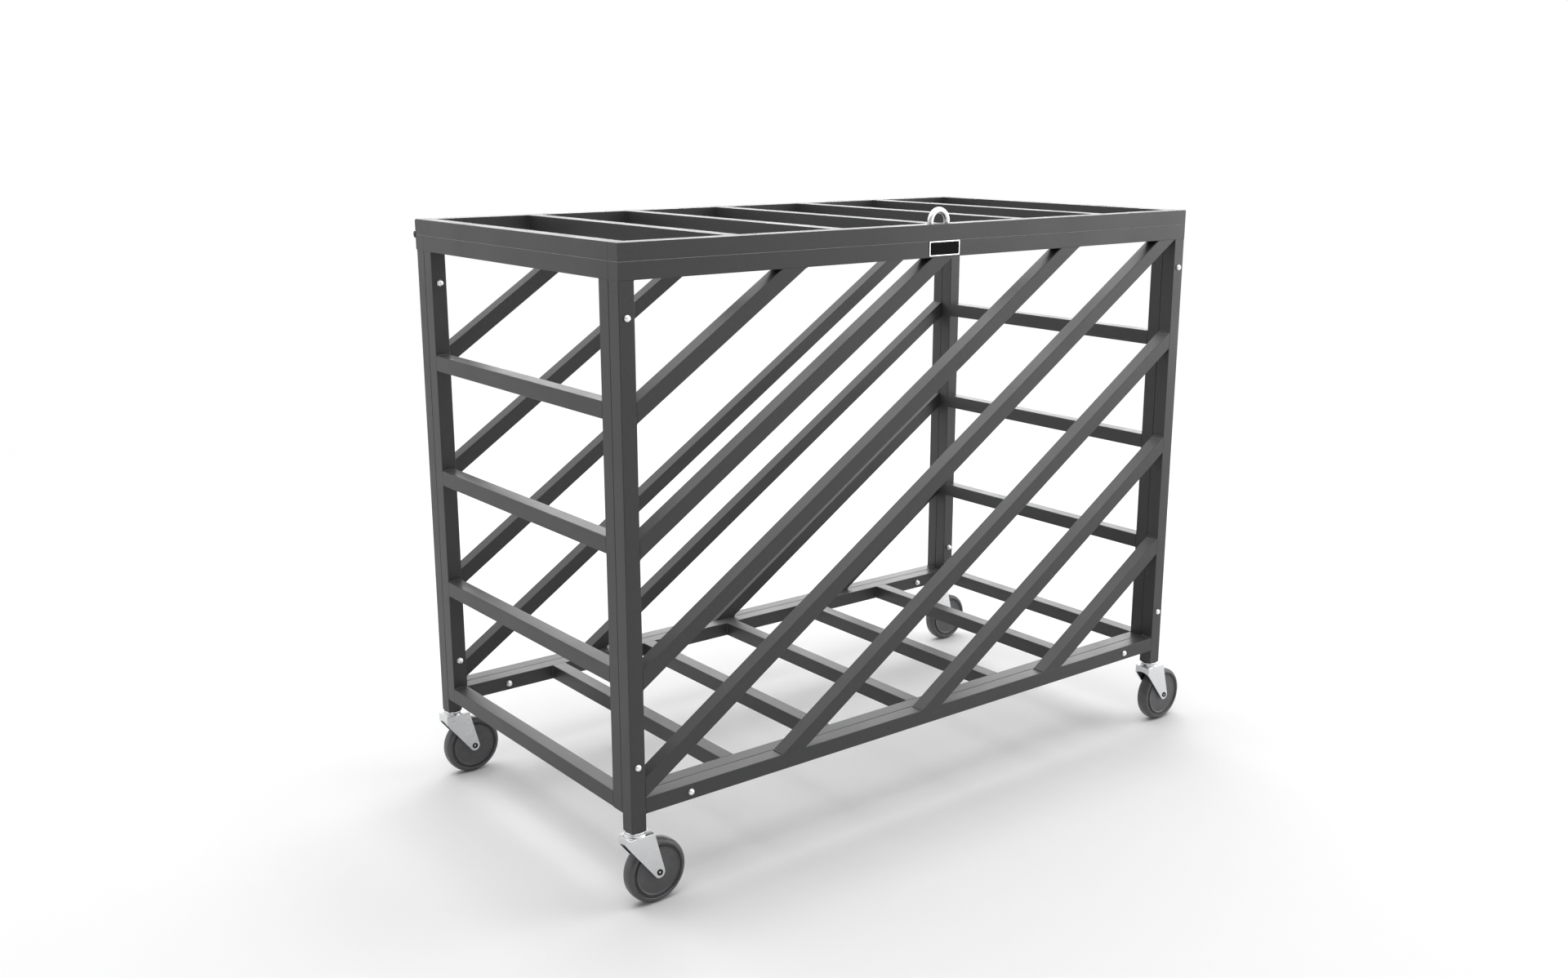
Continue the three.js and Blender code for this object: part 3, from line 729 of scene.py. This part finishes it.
class CART_OT_diagonals(bpy.types.Operator):
    """Make the sloping bars, cut to the rails and legs that they are welded to"""

    bl_idname = "cart.diagonals"
    bl_label = "Sloping bars"

    def execute(self, context):
        left = (RIGHTWARD * LEFT_EDGE, -RIGHTWARD)
        right = (RIGHTWARD * RIGHT_EDGE, RIGHTWARD)
        floor = (UPWARD * FLOOR_TOP, -UPWARD)
        roof = (UPWARD * ROOF, UPWARD)
        way = Vector((RIGHT_EDGE - LEFT_EDGE, 0.0, ROOF - FLOOR_TOP)).normalized()
        up = Vector((-way.z, 0.0, way.x)) * TUBE / 2
        corner = Vector((LEFT_EDGE, 0.0, FLOOR_TOP))
        heights = rung_heights()[::-1]
        bars = [(Vector((LEFT_EDGE, 0.0, height)), left, roof) for height in heights]
        bars += [(corner + up, left, roof)]
        bars += [(Vector((RIGHT_EDGE, 0.0, height)), floor, right) for height in heights]
        for side in SIDES:
            shift = REARWARD * middle(f"{side}_bottom_rail").y
            for index, (point, first, last) in enumerate(bars):
                foot, head = [self.met(point, way, plane) + shift for plane in (first, last)]
                spare = way * 2 * TUBE
                whole = add_tube(bmesh.new(), foot - spare, head + spare)
                whole = trimmed(trimmed(whole, *first), *last)
                for plane in (first, last):
                    for edge in (up, -up):
                        add_bead(whole, self.met(point + edge, way, plane) + shift, REARWARD)
                add_coated(f"{side}_diagonal_{index + 1}", whole)
        return {"FINISHED"}

    def met(self, point, way, plane):
        """Where a line through a point meets a plane."""
        on_plane, normal = plane
        return point + way * ((on_plane - point).dot(normal) / way.dot(normal))


class CART_OT_end_panels(bpy.types.Operator):
    """Make the two end panels, each a welded ladder of tubes"""

    bl_idname = "cart.end_panels"
    bl_label = "End panels"

    def execute(self, context):
        for end in ENDS:
            node = f"{end}_end_panel"
            base, top, centre = corners_of(node)
            x, height = centre.x, top.z - TUBE / 2
            whole = bmesh.new()
            seam_corner = cart_sizes().seam_corner
            add_tube(whole, (x, base.y, height), (x, top.y, height), seam_corner)
            for y in (base.y + TUBE / 2, top.y - TUBE / 2):
                add_tube(whole, (x, y, base.z), (x, y, ROOF))
            inner = (base.y + TUBE, top.y - TUBE)
            for z in (base.z + TUBE / 2, *rung_heights()):
                add_tube(whole, *((x, y, z) for y in inner))
                for y in inner:
                    for edge in (z - TUBE / 2, z + TUBE / 2):
                        add_bead(whole, (x, y, edge), RIGHTWARD)
            for y in inner:
                add_bead(whole, (x, y, ROOF), RIGHTWARD)
            add_coated(node, whole, "tubes")
        return {"FINISHED"}


def add_cross_bar(whole, x, front, rear, z, corner=None):
    """Adds a cross bar of the floor or lid, with welds in its inside corners."""
    add_tube(whole, (x, front, z), (x, rear, z), corner)
    for y in (front, rear):
        for edge in (x - TUBE / 2, x + TUBE / 2):
            if LEFT_EDGE - TUBE / 2 < edge < RIGHT_EDGE + TUBE / 2:
                add_bead(whole, (edge, y, z), UPWARD)


def bar_places():
    """Where the centre lines of the legs and of the cross bars between them lie."""
    first, last = middle("front_left_leg").x, middle("front_right_leg").x
    return [first + (last - first) * bay / BAYS for bay in range(BAYS + 1)]


class CART_OT_floor_frame(bpy.types.Operator):
    """Make the floor frame that carries the load"""

    bl_idname = "cart.floor_frame"
    bl_label = "Floor frame"

    def execute(self, context):
        base, top, centre = corners_of("floor_frame")
        whole = bmesh.new()
        for y in (base.y + TUBE / 2, top.y - TUBE / 2):
            add_tube(whole, (base.x, y, centre.z), (top.x, y, centre.z))
        for x in bar_places()[1:-1]:
            add_cross_bar(whole, x, base.y + TUBE, top.y - TUBE, centre.z)
        add_coated("floor_frame", whole, "tubes")
        return {"FINISHED"}


class CART_OT_lid(bpy.types.Operator):
    """Make the lid frame, with the slot that the padlock staple stands through"""

    bl_idname = "cart.lid"
    bl_label = "Lid"

    def execute(self, context):
        sizes = cart_sizes()
        base, top, centre = corners_of("lid_frame")
        whole = bmesh.new()
        for y in (base.y + TUBE / 2, top.y - TUBE / 2):
            rail = carved(closed_rail("lid_frame", y), self.hollow(base.x, top.x, y, centre.z))
            if y < centre.y:
                rail = carved(rail, self.slot(y, base.z))
            add_shell(whole, rail)
        for x in bar_places():
            add_cross_bar(whole, x, base.y + TUBE, top.y - TUBE, centre.z, sizes.seam_corner)
        add_coated("lid_frame", whole, "tubes")
        return {"FINISHED"}

    def hollow(self, left, right, y, z):
        """What is hollow inside a closed rail."""
        sizes = cart_sizes()
        face = rounded_face(tube_bore(), tube_bore(), sizes.corner * BORE_CORNER_SHARE)
        shell = pulled(face, right - left - 2 * sizes.wall)
        shell.transform(turned_to((left + sizes.wall, y, z), RIGHTWARD))
        return shell

    def slot(self, y, z):
        """What is cut for the staple, longer toward the front for the lid's swing."""
        sizes = cart_sizes()
        staple = middle("padlock_staple")
        width = high("padlock_staple").x - low("padlock_staple").x + 2 * sizes.slot_gap
        depth = sizes.staple_rod + sizes.slot_swing + 2 * sizes.slot_gap
        round_end = sizes.staple_rod / 2 + sizes.slot_gap
        shell = pulled(rounded_face(width, depth, round_end, SLOT_STEPS), 2 * TUBE)
        shell.transform(Matrix.Translation((staple.x, y - sizes.slot_swing / 2, z - TUBE / 2)))
        return shell


class CART_OT_seam_highlight(bpy.types.Operator):
    """Make the thin pale strip that the lid comes down on, along the cage's outer edge: a painted
    highlight
    """

    bl_idname = "cart.seal"
    bl_label = "Lid seal"

    def execute(self, context):
        sizes = cart_sizes()
        base, top, centre = low("front_top_rail"), high("rear_top_rail"), middle("lid_frame")
        inset = sizes.seam_corner * HIGHLIGHT_STRIP_INSET_SHARE
        width, depth = top.x - base.x - 2 * inset, top.y - base.y - 2 * inset
        step = 2 * sizes.highlight_strip_width
        ring = ring_of(
            rounded_face(width, depth, sizes.seam_corner),
            rounded_face(width - step, depth - step, sizes.seam_corner),
        )
        place = Matrix.Translation((centre.x, centre.y, SEAM))
        whole = add_shell(bmesh.new(), pulled(ring, sizes.highlight_strip_height), place)
        # Its pale colour paints the light line along the seam, a painted highlight
        add_detail("lid_seal_strip", whole, [painted_seam_highlight()], "cage")
        return {"FINISHED"}


class CART_OT_hinge(bpy.types.Operator):
    """Make the continuous hinge: two riveted leaves whose knuckles turn on one pin"""

    bl_idname = "cart.hinge"
    bl_label = "Hinge"

    def execute(self, context):
        self.leaf("hinge_fixed_leaf", -1, 0)
        self.leaf("hinge_moving_leaf", 1, 1)
        base, top, axis = corners_of("hinge_pin")
        radius, distance = (top.z - base.z) / 2, top.x - base.x
        pin = turned(disc(radius, 0.0, distance, PIN_EDGE, PIN_EDGE), steps=24)
        whole = add_shell(bmesh.new(), pin, turned_to((base.x, axis.y, axis.z), RIGHTWARD))
        add_piece("hinge_pin", "rod", whole, black_hinge())
        return {"FINISHED"}

    def leaf(self, node, way, first):
        """A leaf up or down from the barrel, with every second knuckle from the first."""
        sizes = cart_sizes()
        axis = middle("hinge_pin")
        barrel = high("hinge_fixed_leaf").y - axis.y
        start, end = low("hinge_fixed_leaf").x, high("hinge_fixed_leaf").x
        pitch = (end - start) / sizes.knuckles
        edge = low(node).z if way < 0 else high(node).z
        root = axis.z + way * (barrel + sizes.knuckle_gap)
        front = low(node).y
        centre_y, centre_z = front + sizes.leaf / 2, (edge + root) / 2
        whole = bmesh.new()
        plate = self.strip(abs(edge - root), end - start)
        add_shell(whole, plate, turned_to((start, centre_y, centre_z), RIGHTWARD))
        for knuckle in range(first, sizes.knuckles, 2):
            x = start + knuckle * pitch + sizes.knuckle_gap / 2
            width = pitch - sizes.knuckle_gap
            ring = turned(self.ring(barrel, width), steps=32, fillet_steps=2)
            add_shell(whole, ring, turned_to((x, axis.y, axis.z), RIGHTWARD))
            reach = abs(root - axis.z) + sizes.leaf / 2
            place = turned_to((x, centre_y, axis.z + way * reach / 2), RIGHTWARD)
            add_shell(whole, self.strip(reach, width), place)
        for rivet in range(sizes.rivets):
            x = start + (rivet + 0.5) * (end - start) / sizes.rivets
            rivet_head = disc(RIVET_RADIUS, 0.0, RIVET_HEIGHT, 0.0, RIVET_DOME)
            head = turned(rivet_head, steps=20, fillet_steps=5)
            spot = (x, front + sizes.leaf - RIVET_SINK, centre_z)
            add_shell(whole, head, turned_to(spot, REARWARD))
        add_piece(node, "plate", whole, black_hinge())

    def strip(self, height, distance):
        """A strip of a leaf's thickness."""
        leaf = cart_sizes().leaf
        edge = leaf * LEAF_EDGE_SHARE
        return bar_shell(leaf, height, distance, edge, edge)

    def ring(self, barrel, width):
        """The profile of a knuckle."""
        bore = middle("hinge_pin").z - low("hinge_pin").z + BORE_GAP
        return [
            (bore, 0.0, BORE_EDGE),
            (barrel, 0.0, BARREL_EDGE),
            (barrel, width, BARREL_EDGE),
            (bore, width, BORE_EDGE),
        ]


class CART_OT_staple(bpy.types.Operator):
    """Make the padlock staple, a rod bent half round on two straight legs"""

    bl_idname = "cart.staple"
    bl_label = "Padlock staple"

    def execute(self, context):
        base, top, centre = corners_of("padlock_staple")
        rod = cart_sizes().staple_rod / 2
        bend = (top.x - base.x) / 2 - rod
        straight = top.z - rod - bend - base.z
        shell = bmesh.new()
        foot = Matrix.Translation((-bend, 0.0, 0.0))
        bmesh.ops.create_circle(shell, cap_ends=True, segments=32, radius=rod, matrix=foot)
        pulled(shell, straight)
        cap = [face for face in shell.faces if face.calc_center_median().z > straight - SAME_LEVEL]
        bmesh.ops.delete(shell, geom=cap, context="FACES_ONLY")
        rim = [edge for edge in shell.edges if edge.is_boundary]
        middle_of_bend = (0.0, 0.0, straight)
        bent = spun(
            shell, rim, cent=middle_of_bend, axis=REARWARD, angle=math.pi, steps=40, use_merge=False
        )
        last = [part for part in bent["geom_last"] if isinstance(part, bmesh.types.BMEdge)]
        grown = bmesh.ops.extrude_edge_only(shell, edges=last)
        bmesh.ops.translate(shell, verts=verts_in(grown["geom"]), vec=(0.0, 0.0, -straight))
        bmesh.ops.holes_fill(shell, edges=[edge for edge in shell.edges if edge.is_boundary])
        bmesh.ops.remove_doubles(shell, verts=shell.verts[:], dist=SAME_PLACE)
        outward(shell)
        place = Matrix.Translation((centre.x, centre.y, base.z))
        whole = add_shell(bmesh.new(), smoothed(shell, ROD_SOFT_EDGE), place)
        add_piece("padlock_staple", "rod", whole, bright_zinc())
        return {"FINISHED"}


class CART_OT_bolts(bpy.types.Operator):
    """Make the bolts, each with a domed head outside and a cap nut inside"""

    bl_idname = "cart.bolts"
    bl_label = "Bolts"

    def execute(self, context):
        for corner in CORNERS:
            for place in ("upper", "lower", "floor"):
                node = f"{corner}_{place}_bolt"
                base, top, centre = corners_of(node)
                way, tip = (1.0, base.y) if corner.startswith("front") else (-1.0, top.y)
                span = top.y - base.y
                axis = turned_to((centre.x, tip, centre.z), REARWARD * way)
                whole = add_shell(bmesh.new(), self.head(span), axis)
                nut_place = axis @ Matrix.Translation((0.0, 0.0, span - NUT_HEIGHT))
                add_shell(whole, self.nut(), nut_place)
                add_piece(node, "zinc", whole, bright_zinc())
        return {"FINISHED"}

    def head(self, span):
        """The head's tip is at zero and its shank runs up into the cap nut."""
        end = span - SHANK_SHORT
        profile = [*BOLT_HEAD, (SHANK_RADIUS, end, 0.0), (0.0, end, 0.0)]
        return turned(profile, steps=28, fillet_steps=8)

    def nut(self):
        """A hexagon with softened corners under a dome."""
        shell = prism(6, NUT_RADIUS, NUT_BASE)
        softened(shell, shell.edges[:], NUT_EDGE, 2)
        profile = disc(NUT_DOME_RADIUS, NUT_DOME_FOOT, NUT_HEIGHT, 0.0, NUT_DOME)
        return add_shell(shell, turned(profile, steps=28, fillet_steps=8))


def caster_place(corner):
    """Where a caster goes that is made about its swivel's axis, with zero at the leg's end."""
    leg = f"{corner}_leg"
    centre = middle(leg)
    return Matrix.Translation((centre.x, centre.y, low(leg).z))


class CART_OT_stems(bpy.types.Operator):
    """Make the casters' stems: a plug in the leg, the upper race and the riveted kingpin"""

    bl_idname = "cart.stems"
    bl_label = "Caster stems"

    def execute(self, context):
        for corner in CORNERS:
            node = f"{corner}_caster_stem"
            base, top = low(node), high(node)
            zero = low(f"{corner}_leg").z
            place = caster_place(corner)
            profile = self.pin_and_race(base.z - zero, (top.x - base.x) / 2)
            whole = add_shell(bmesh.new(), turned(profile, steps=48), place)
            width = tube_bore() - PLUG_PLAY
            plug = bar_shell(width, width, top.z - zero - PLUG_FOOT, PLUG_CORNER, PLUG_EDGE)
            add_shell(whole, plug, place @ Matrix.Translation((0.0, 0.0, PLUG_FOOT)))
            add_piece(node, "zinc", whole, zinc_plate())
        return {"FINISHED"}

    def pin_and_race(self, foot, race):
        """The profile of the kingpin with the upper race round it."""
        head = [(radius, foot + height, fillet) for radius, height, fillet in KINGPIN_HEAD]
        return [
            *head,
            (KINGPIN_RADIUS, head[-1][1], 0.0),
            (KINGPIN_RADIUS, UPPER_RACE_FOOT, 0.0),
            (race, UPPER_RACE_FOOT, UPPER_RACE_EDGES[0]),
            (race, UPPER_RACE_TOP, UPPER_RACE_EDGES[1]),
            (0.0, UPPER_RACE_TOP, 0.0),
        ]


class CART_OT_forks(bpy.types.Operator):
    """Make the casters' forks, pressed from sheet steel"""

    bl_idname = "cart.forks"
    bl_label = "Caster forks"

    def execute(self, context):
        for corner in CORNERS:
            place = caster_place(corner)
            whole = add_shell(bmesh.new(), self.pressing(corner), place)
            add_shell(whole, turned(LOWER_RACE, steps=48), place)
            add_piece(f"{corner}_caster_fork", "sheet", whole, zinc_plate())
        return {"FINISHED"}

    def pressing(self, corner):
        """The bent sheet: a top, two cheeks that taper to the axle, and a front web."""
        sizes = cart_sizes()
        axle = caster_place(corner).inverted() @ middle(f"{corner}_caster_axle")
        half, lip = FORK_WIDTH / 2, FORK_TOP - sizes.fork_lip
        shell = bmesh.new()
        for y in (-half, half):
            toe = turned_to((axle.x, y, axle.z), REARWARD)
            bmesh.ops.create_circle(shell, segments=48, radius=TOE_RADIUS, matrix=toe)
            for x, z in ((FORK_NOSE, FORK_TOP), (FORK_NOSE, lip), (FORK_TAIL, FORK_TOP)):
                bmesh.ops.create_vert(shell, co=(x, y, z))
        hull = bmesh.ops.convex_hull(shell, input=shell.verts[:])
        bmesh.ops.delete(shell, geom=verts_in(hull["geom_interior"]), context="VERTS")
        bmesh.ops.dissolve_limit(
            shell, angle_limit=FLAT, verts=shell.verts[:], edges=shell.edges[:]
        )
        outward(shell)
        open_sides = [
            face
            for face in shell.faces
            if max(abs(face.normal.y), face.normal.z, -face.normal.x) <= FACING
        ]
        bmesh.ops.delete(shell, geom=open_sides, context="FACES")
        bends = [edge for edge in shell.edges if len(edge.link_faces) == 2]
        softened(shell, bends, sizes.fork_bend, 4)
        self.arch(shell, lip, half - sizes.fork_sheet, sizes.fork_arch)
        bmesh.ops.solidify(shell, geom=shell.faces[:], thickness=sizes.fork_sheet)
        return smoothed(outward(shell), SOFT_EDGE)

    def arch(self, shell, bottom, half, rise):
        """Raises the lower edge of the front web into an arch."""
        edge = max(
            (e for e in shell.edges if all(abs(v.co.z - bottom) < SAME_LEVEL for v in e.verts)),
            key=lambda e: e.calc_length(),
        )
        cut = bmesh.ops.subdivide_edges(shell, edges=[edge], cuts=ARCH_CUTS)
        for vert in verts_in(cut["geom_inner"]):
            vert.co.z += rise * max(0.0, 1.0 - (vert.co.y / half) ** 2)


class CART_OT_axles(bpy.types.Operator):
    """Make the casters' axles, riveted over with a dimple at each end"""

    bl_idname = "cart.axles"
    bl_label = "Caster axles"

    def execute(self, context):
        for corner in CORNERS:
            node = f"{corner}_caster_axle"
            base, top, centre = corners_of(node)
            end, radius = (base.y - top.y) / 2, (top.x - base.x) / 2
            lower_end = [
                (0.0, end + DIMPLE_DEPTH, 0.0),
                (DIMPLE_FLOOR_RADIUS, end + DIMPLE_DEPTH, 0.0),
                (DIMPLE_RADIUS, end, DIMPLE_EDGE),
                (radius, end, AXLE_HEAD_EDGE),
                (radius, end + AXLE_HEAD_HEIGHT, 0.0),
                (AXLE_SHAFT_RADIUS, end + AXLE_HEAD_HEIGHT, 0.0),
            ]
            axle = turned(mirrored(lower_end), steps=40)
            whole = add_shell(bmesh.new(), axle, turned_to(centre, REARWARD))
            add_piece(node, "rivet", whole, black_oxide())
        return {"FINISHED"}


class CART_OT_wheels(bpy.types.Operator):
    """Make the casters' wheels, with a rounded tread and a groove round each face"""

    bl_idname = "cart.wheels"
    bl_label = "Caster wheels"

    def execute(self, context):
        for corner in CORNERS:
            node = f"{corner}_caster_wheel"
            centre = middle(node)
            rim = [(centre.z - inset, width, fillet) for inset, width, fillet in WHEEL_RIM]
            wheel = turned(mirrored([*WHEEL_HUB, *rim]), steps=96, fillet_steps=4)
            whole = add_shell(bmesh.new(), wheel, turned_to(centre, REARWARD))
            add_piece(node, "rubber", whole, wheel_rubber())
        return {"FINISHED"}


class CART_OT_plate(bpy.types.Operator):
    """Make the small plate on the front rail, left bare"""

    bl_idname = "cart.plate"
    bl_label = "Bare plate"

    def execute(self, context):
        sizes = cart_sizes()
        width, height, depth = sizes.plate_width, sizes.plate_height, sizes.plate_depth
        shell = bar_shell(width, height, depth, PLATE_CORNER, PLATE_EDGE)
        inner = (width - 2 * PLATE_RIM, height - 2 * PLATE_RIM)
        field = pulled(rounded_face(*inner, FIELD_CORNER, FIELD_STEPS), depth + FIELD_PROUD)
        for face in field.faces:
            face.material_index = 1
        add_shell(shell, field)
        x, y = middle("padlock_staple").x + PLATE_SHIFT, low("front_top_rail").y
        upright = Matrix.Rotation(math.pi / 2, 4, "X")
        place = Matrix.Translation((x, y, SEAM - height / 2)) @ upright
        whole = add_shell(bmesh.new(), shell, place)
        add_detail("bare_plate", whole, [plate_rim(), plate_field()], "cage")
        return {"FINISHED"}


def add_lamp(name, place, target, size, radiance):
    """A soft rectangular lamp. Its radiance is in the same units as a white surface."""
    data = bpy.data.lights.new(name, "AREA")
    data.shape = "RECTANGLE"
    data.size, data.size_y = size
    data.energy = radiance * math.pi * size[0] * size[1]
    lamp = bpy.data.objects.new(name, data)
    lamp.location = place
    lamp.rotation_euler = (Vector(target) - Vector(place)).to_track_quat("-Z", "Y").to_euler()
    bpy.context.scene.collection.objects.link(lamp)


def shown_rays(tree):
    """One for the rays that see the white surroundings: the camera's and a reflection's."""
    path = add_node(tree, "ShaderNodeLightPath")
    shown = path.outputs["Is Camera Ray"]
    for kind in ("Is Glossy Ray", "Is Transmission Ray"):
        links = {0: shown, 1: path.outputs[kind]}
        shown = add_node(tree, "ShaderNodeMath", links=links, operation="MAXIMUM").outputs["Value"]
    return shown


class CART_OT_stage(bpy.types.Operator):
    """Set the pale floor, the soft lamps and the camera"""

    bl_idname = "cart.stage"
    bl_label = "Stage"

    def execute(self, context):
        self.floor(context)
        self.room(context)
        for lamp in LAMPS:
            add_lamp(*lamp)
        stage = context.scene.cart_stage
        camera = bpy.data.cameras.new("camera")
        camera.lens = stage.lens
        camera.sensor_width = SENSOR_WIDTH
        camera.clip_end = FAR_CLIP
        view = bpy.data.objects.new("camera", camera)
        view.location = CAMERA_PLACE
        view.rotation_euler = (math.pi / 2 - stage.pitch, 0.0, -stage.yaw)
        context.scene.collection.objects.link(view)
        context.scene.camera = view
        context.scene.view_settings.view_transform = "Standard"
        return {"FINISHED"}

    def floor(self, context):
        """A matt floor that turns to plain white with its distance from the cart."""
        shell = bmesh.new()
        bmesh.ops.create_grid(shell, x_segments=1, y_segments=1, size=FLOOR_REACH)
        floor = bpy.data.objects.new("studio_floor", mesh_of(shell, "studio_floor"))
        context.scene.collection.objects.link(floor)
        material = bpy.data.materials.new("studio_floor")
        tree = new_tree(material)
        place = {0: add_node(tree, "ShaderNodeTexCoord").outputs["Object"]}
        distance = add_node(tree, "ShaderNodeVectorMath", links=place, operation="LENGTH")
        far = add_node(
            tree,
            "ShaderNodeMapRange",
            {"From Min": FLOOR_FADE_START, "From Max": FLOOR_FADE_END},
            {"Value": distance.outputs["Value"]},
            interpolation_type="SMOOTHSTEP",
        )
        links = {0: far.outputs["Result"], 1: shown_rays(tree)}
        share = add_node(tree, "ShaderNodeMath", links=links, operation="MULTIPLY")
        matt = add_node(tree, "ShaderNodeBsdfDiffuse", {"Color": context.scene.cart_colours.floor})
        white = add_node(tree, "ShaderNodeEmission", {"Strength": 1.0})
        looks = {1: matt.outputs["BSDF"], 2: white.outputs["Emission"]}
        links = {0: share.outputs["Value"], **looks}
        surface = add_node(tree, "ShaderNodeMixShader", links=links)
        add_node(tree, "ShaderNodeOutputMaterial", links={"Surface": surface.outputs["Shader"]})
        floor.data.materials.append(material)

    def room(self, context):
        """A room that looks white and lights the cart dimly."""
        context.scene.world = bpy.data.worlds.new("studio_room")
        tree = new_tree(context.scene.world)
        sky = {"Color": WHITE, "Strength": context.scene.cart_stage.sky}
        dim = add_node(tree, "ShaderNodeBackground", sky)
        strength = {"Strength": self.reflected(tree)}
        bright = add_node(tree, "ShaderNodeBackground", {"Color": WHITE}, strength)
        looks = {1: dim.outputs["Background"], 2: bright.outputs["Background"]}
        links = {0: shown_rays(tree), **looks}
        surface = add_node(tree, "ShaderNodeMixShader", links=links)
        add_node(tree, "ShaderNodeOutputWorld", links={"Surface": surface.outputs["Shader"]})

    def reflected(self, tree):
        """White, but darker in reflections of the side that the camera stands on."""
        seen = add_node(tree, "ShaderNodeLightPath").outputs["Is Camera Ray"]
        way = {0: add_node(tree, "ShaderNodeTexCoord").outputs["Generated"]}
        toward = add_node(
            tree, "ShaderNodeVectorMath", {1: CAMERA_SIDE}, way, operation="DOT_PRODUCT"
        )
        shade = add_node(
            tree,
            "ShaderNodeMapRange",
            {"From Min": SHADE_START, "From Max": SHADE_END, "To Min": 1.0, "To Max": SHADED_WHITE},
            {"Value": toward.outputs["Value"]},
        )
        links = {0: shade.outputs["Result"], 1: seen}
        return add_node(tree, "ShaderNodeMath", links=links, operation="MAXIMUM").outputs["Value"]


OPERATORS = (
    CART_OT_legs,
    CART_OT_rails,
    CART_OT_diagonals,
    CART_OT_end_panels,
    CART_OT_floor_frame,
    CART_OT_lid,
    CART_OT_seam_highlight,
    CART_OT_hinge,
    CART_OT_staple,
    CART_OT_bolts,
    CART_OT_stems,
    CART_OT_forks,
    CART_OT_axles,
    CART_OT_wheels,
    CART_OT_plate,
    CART_OT_stage,
)


class CART_PT_panel(bpy.types.Panel):
    """The cart's sizes, colours and steps in the sidebar"""

    bl_idname = "CART_PT_panel"
    bl_label = "Ball Cart"
    bl_space_type = "VIEW_3D"
    bl_region_type = "UI"
    bl_category = "Ball Cart"

    def draw(self, context):
        for group in GROUPS:
            box = self.layout.box()
            settings = getattr(context.scene, group)
            for name in settings.bl_rna.properties.keys():
                if name not in ("rna_type", "name"):
                    box.prop(settings, name)
        for operator in OPERATORS:
            self.layout.operator(operator.bl_idname)


GROUPS = {"cart_sizes": CartSizes, "cart_colours": CartColours, "cart_stage": CartStage}
CLASSES = (*GROUPS.values(), *OPERATORS, CART_PT_panel)


def register():
    for cls in CLASSES:
        bpy.utils.register_class(cls)
    for name, group in GROUPS.items():
        setattr(bpy.types.Scene, name, PointerProperty(type=group))


def unregister():
    for name in GROUPS:
        delattr(bpy.types.Scene, name)
    for cls in reversed(CLASSES):
        bpy.utils.unregister_class(cls)


def main():
    register()
    for operator in OPERATORS:
        category, name = operator.bl_idname.split(".")
        getattr(getattr(bpy.ops, category), name)()


if __name__ == "__main__":
    main()
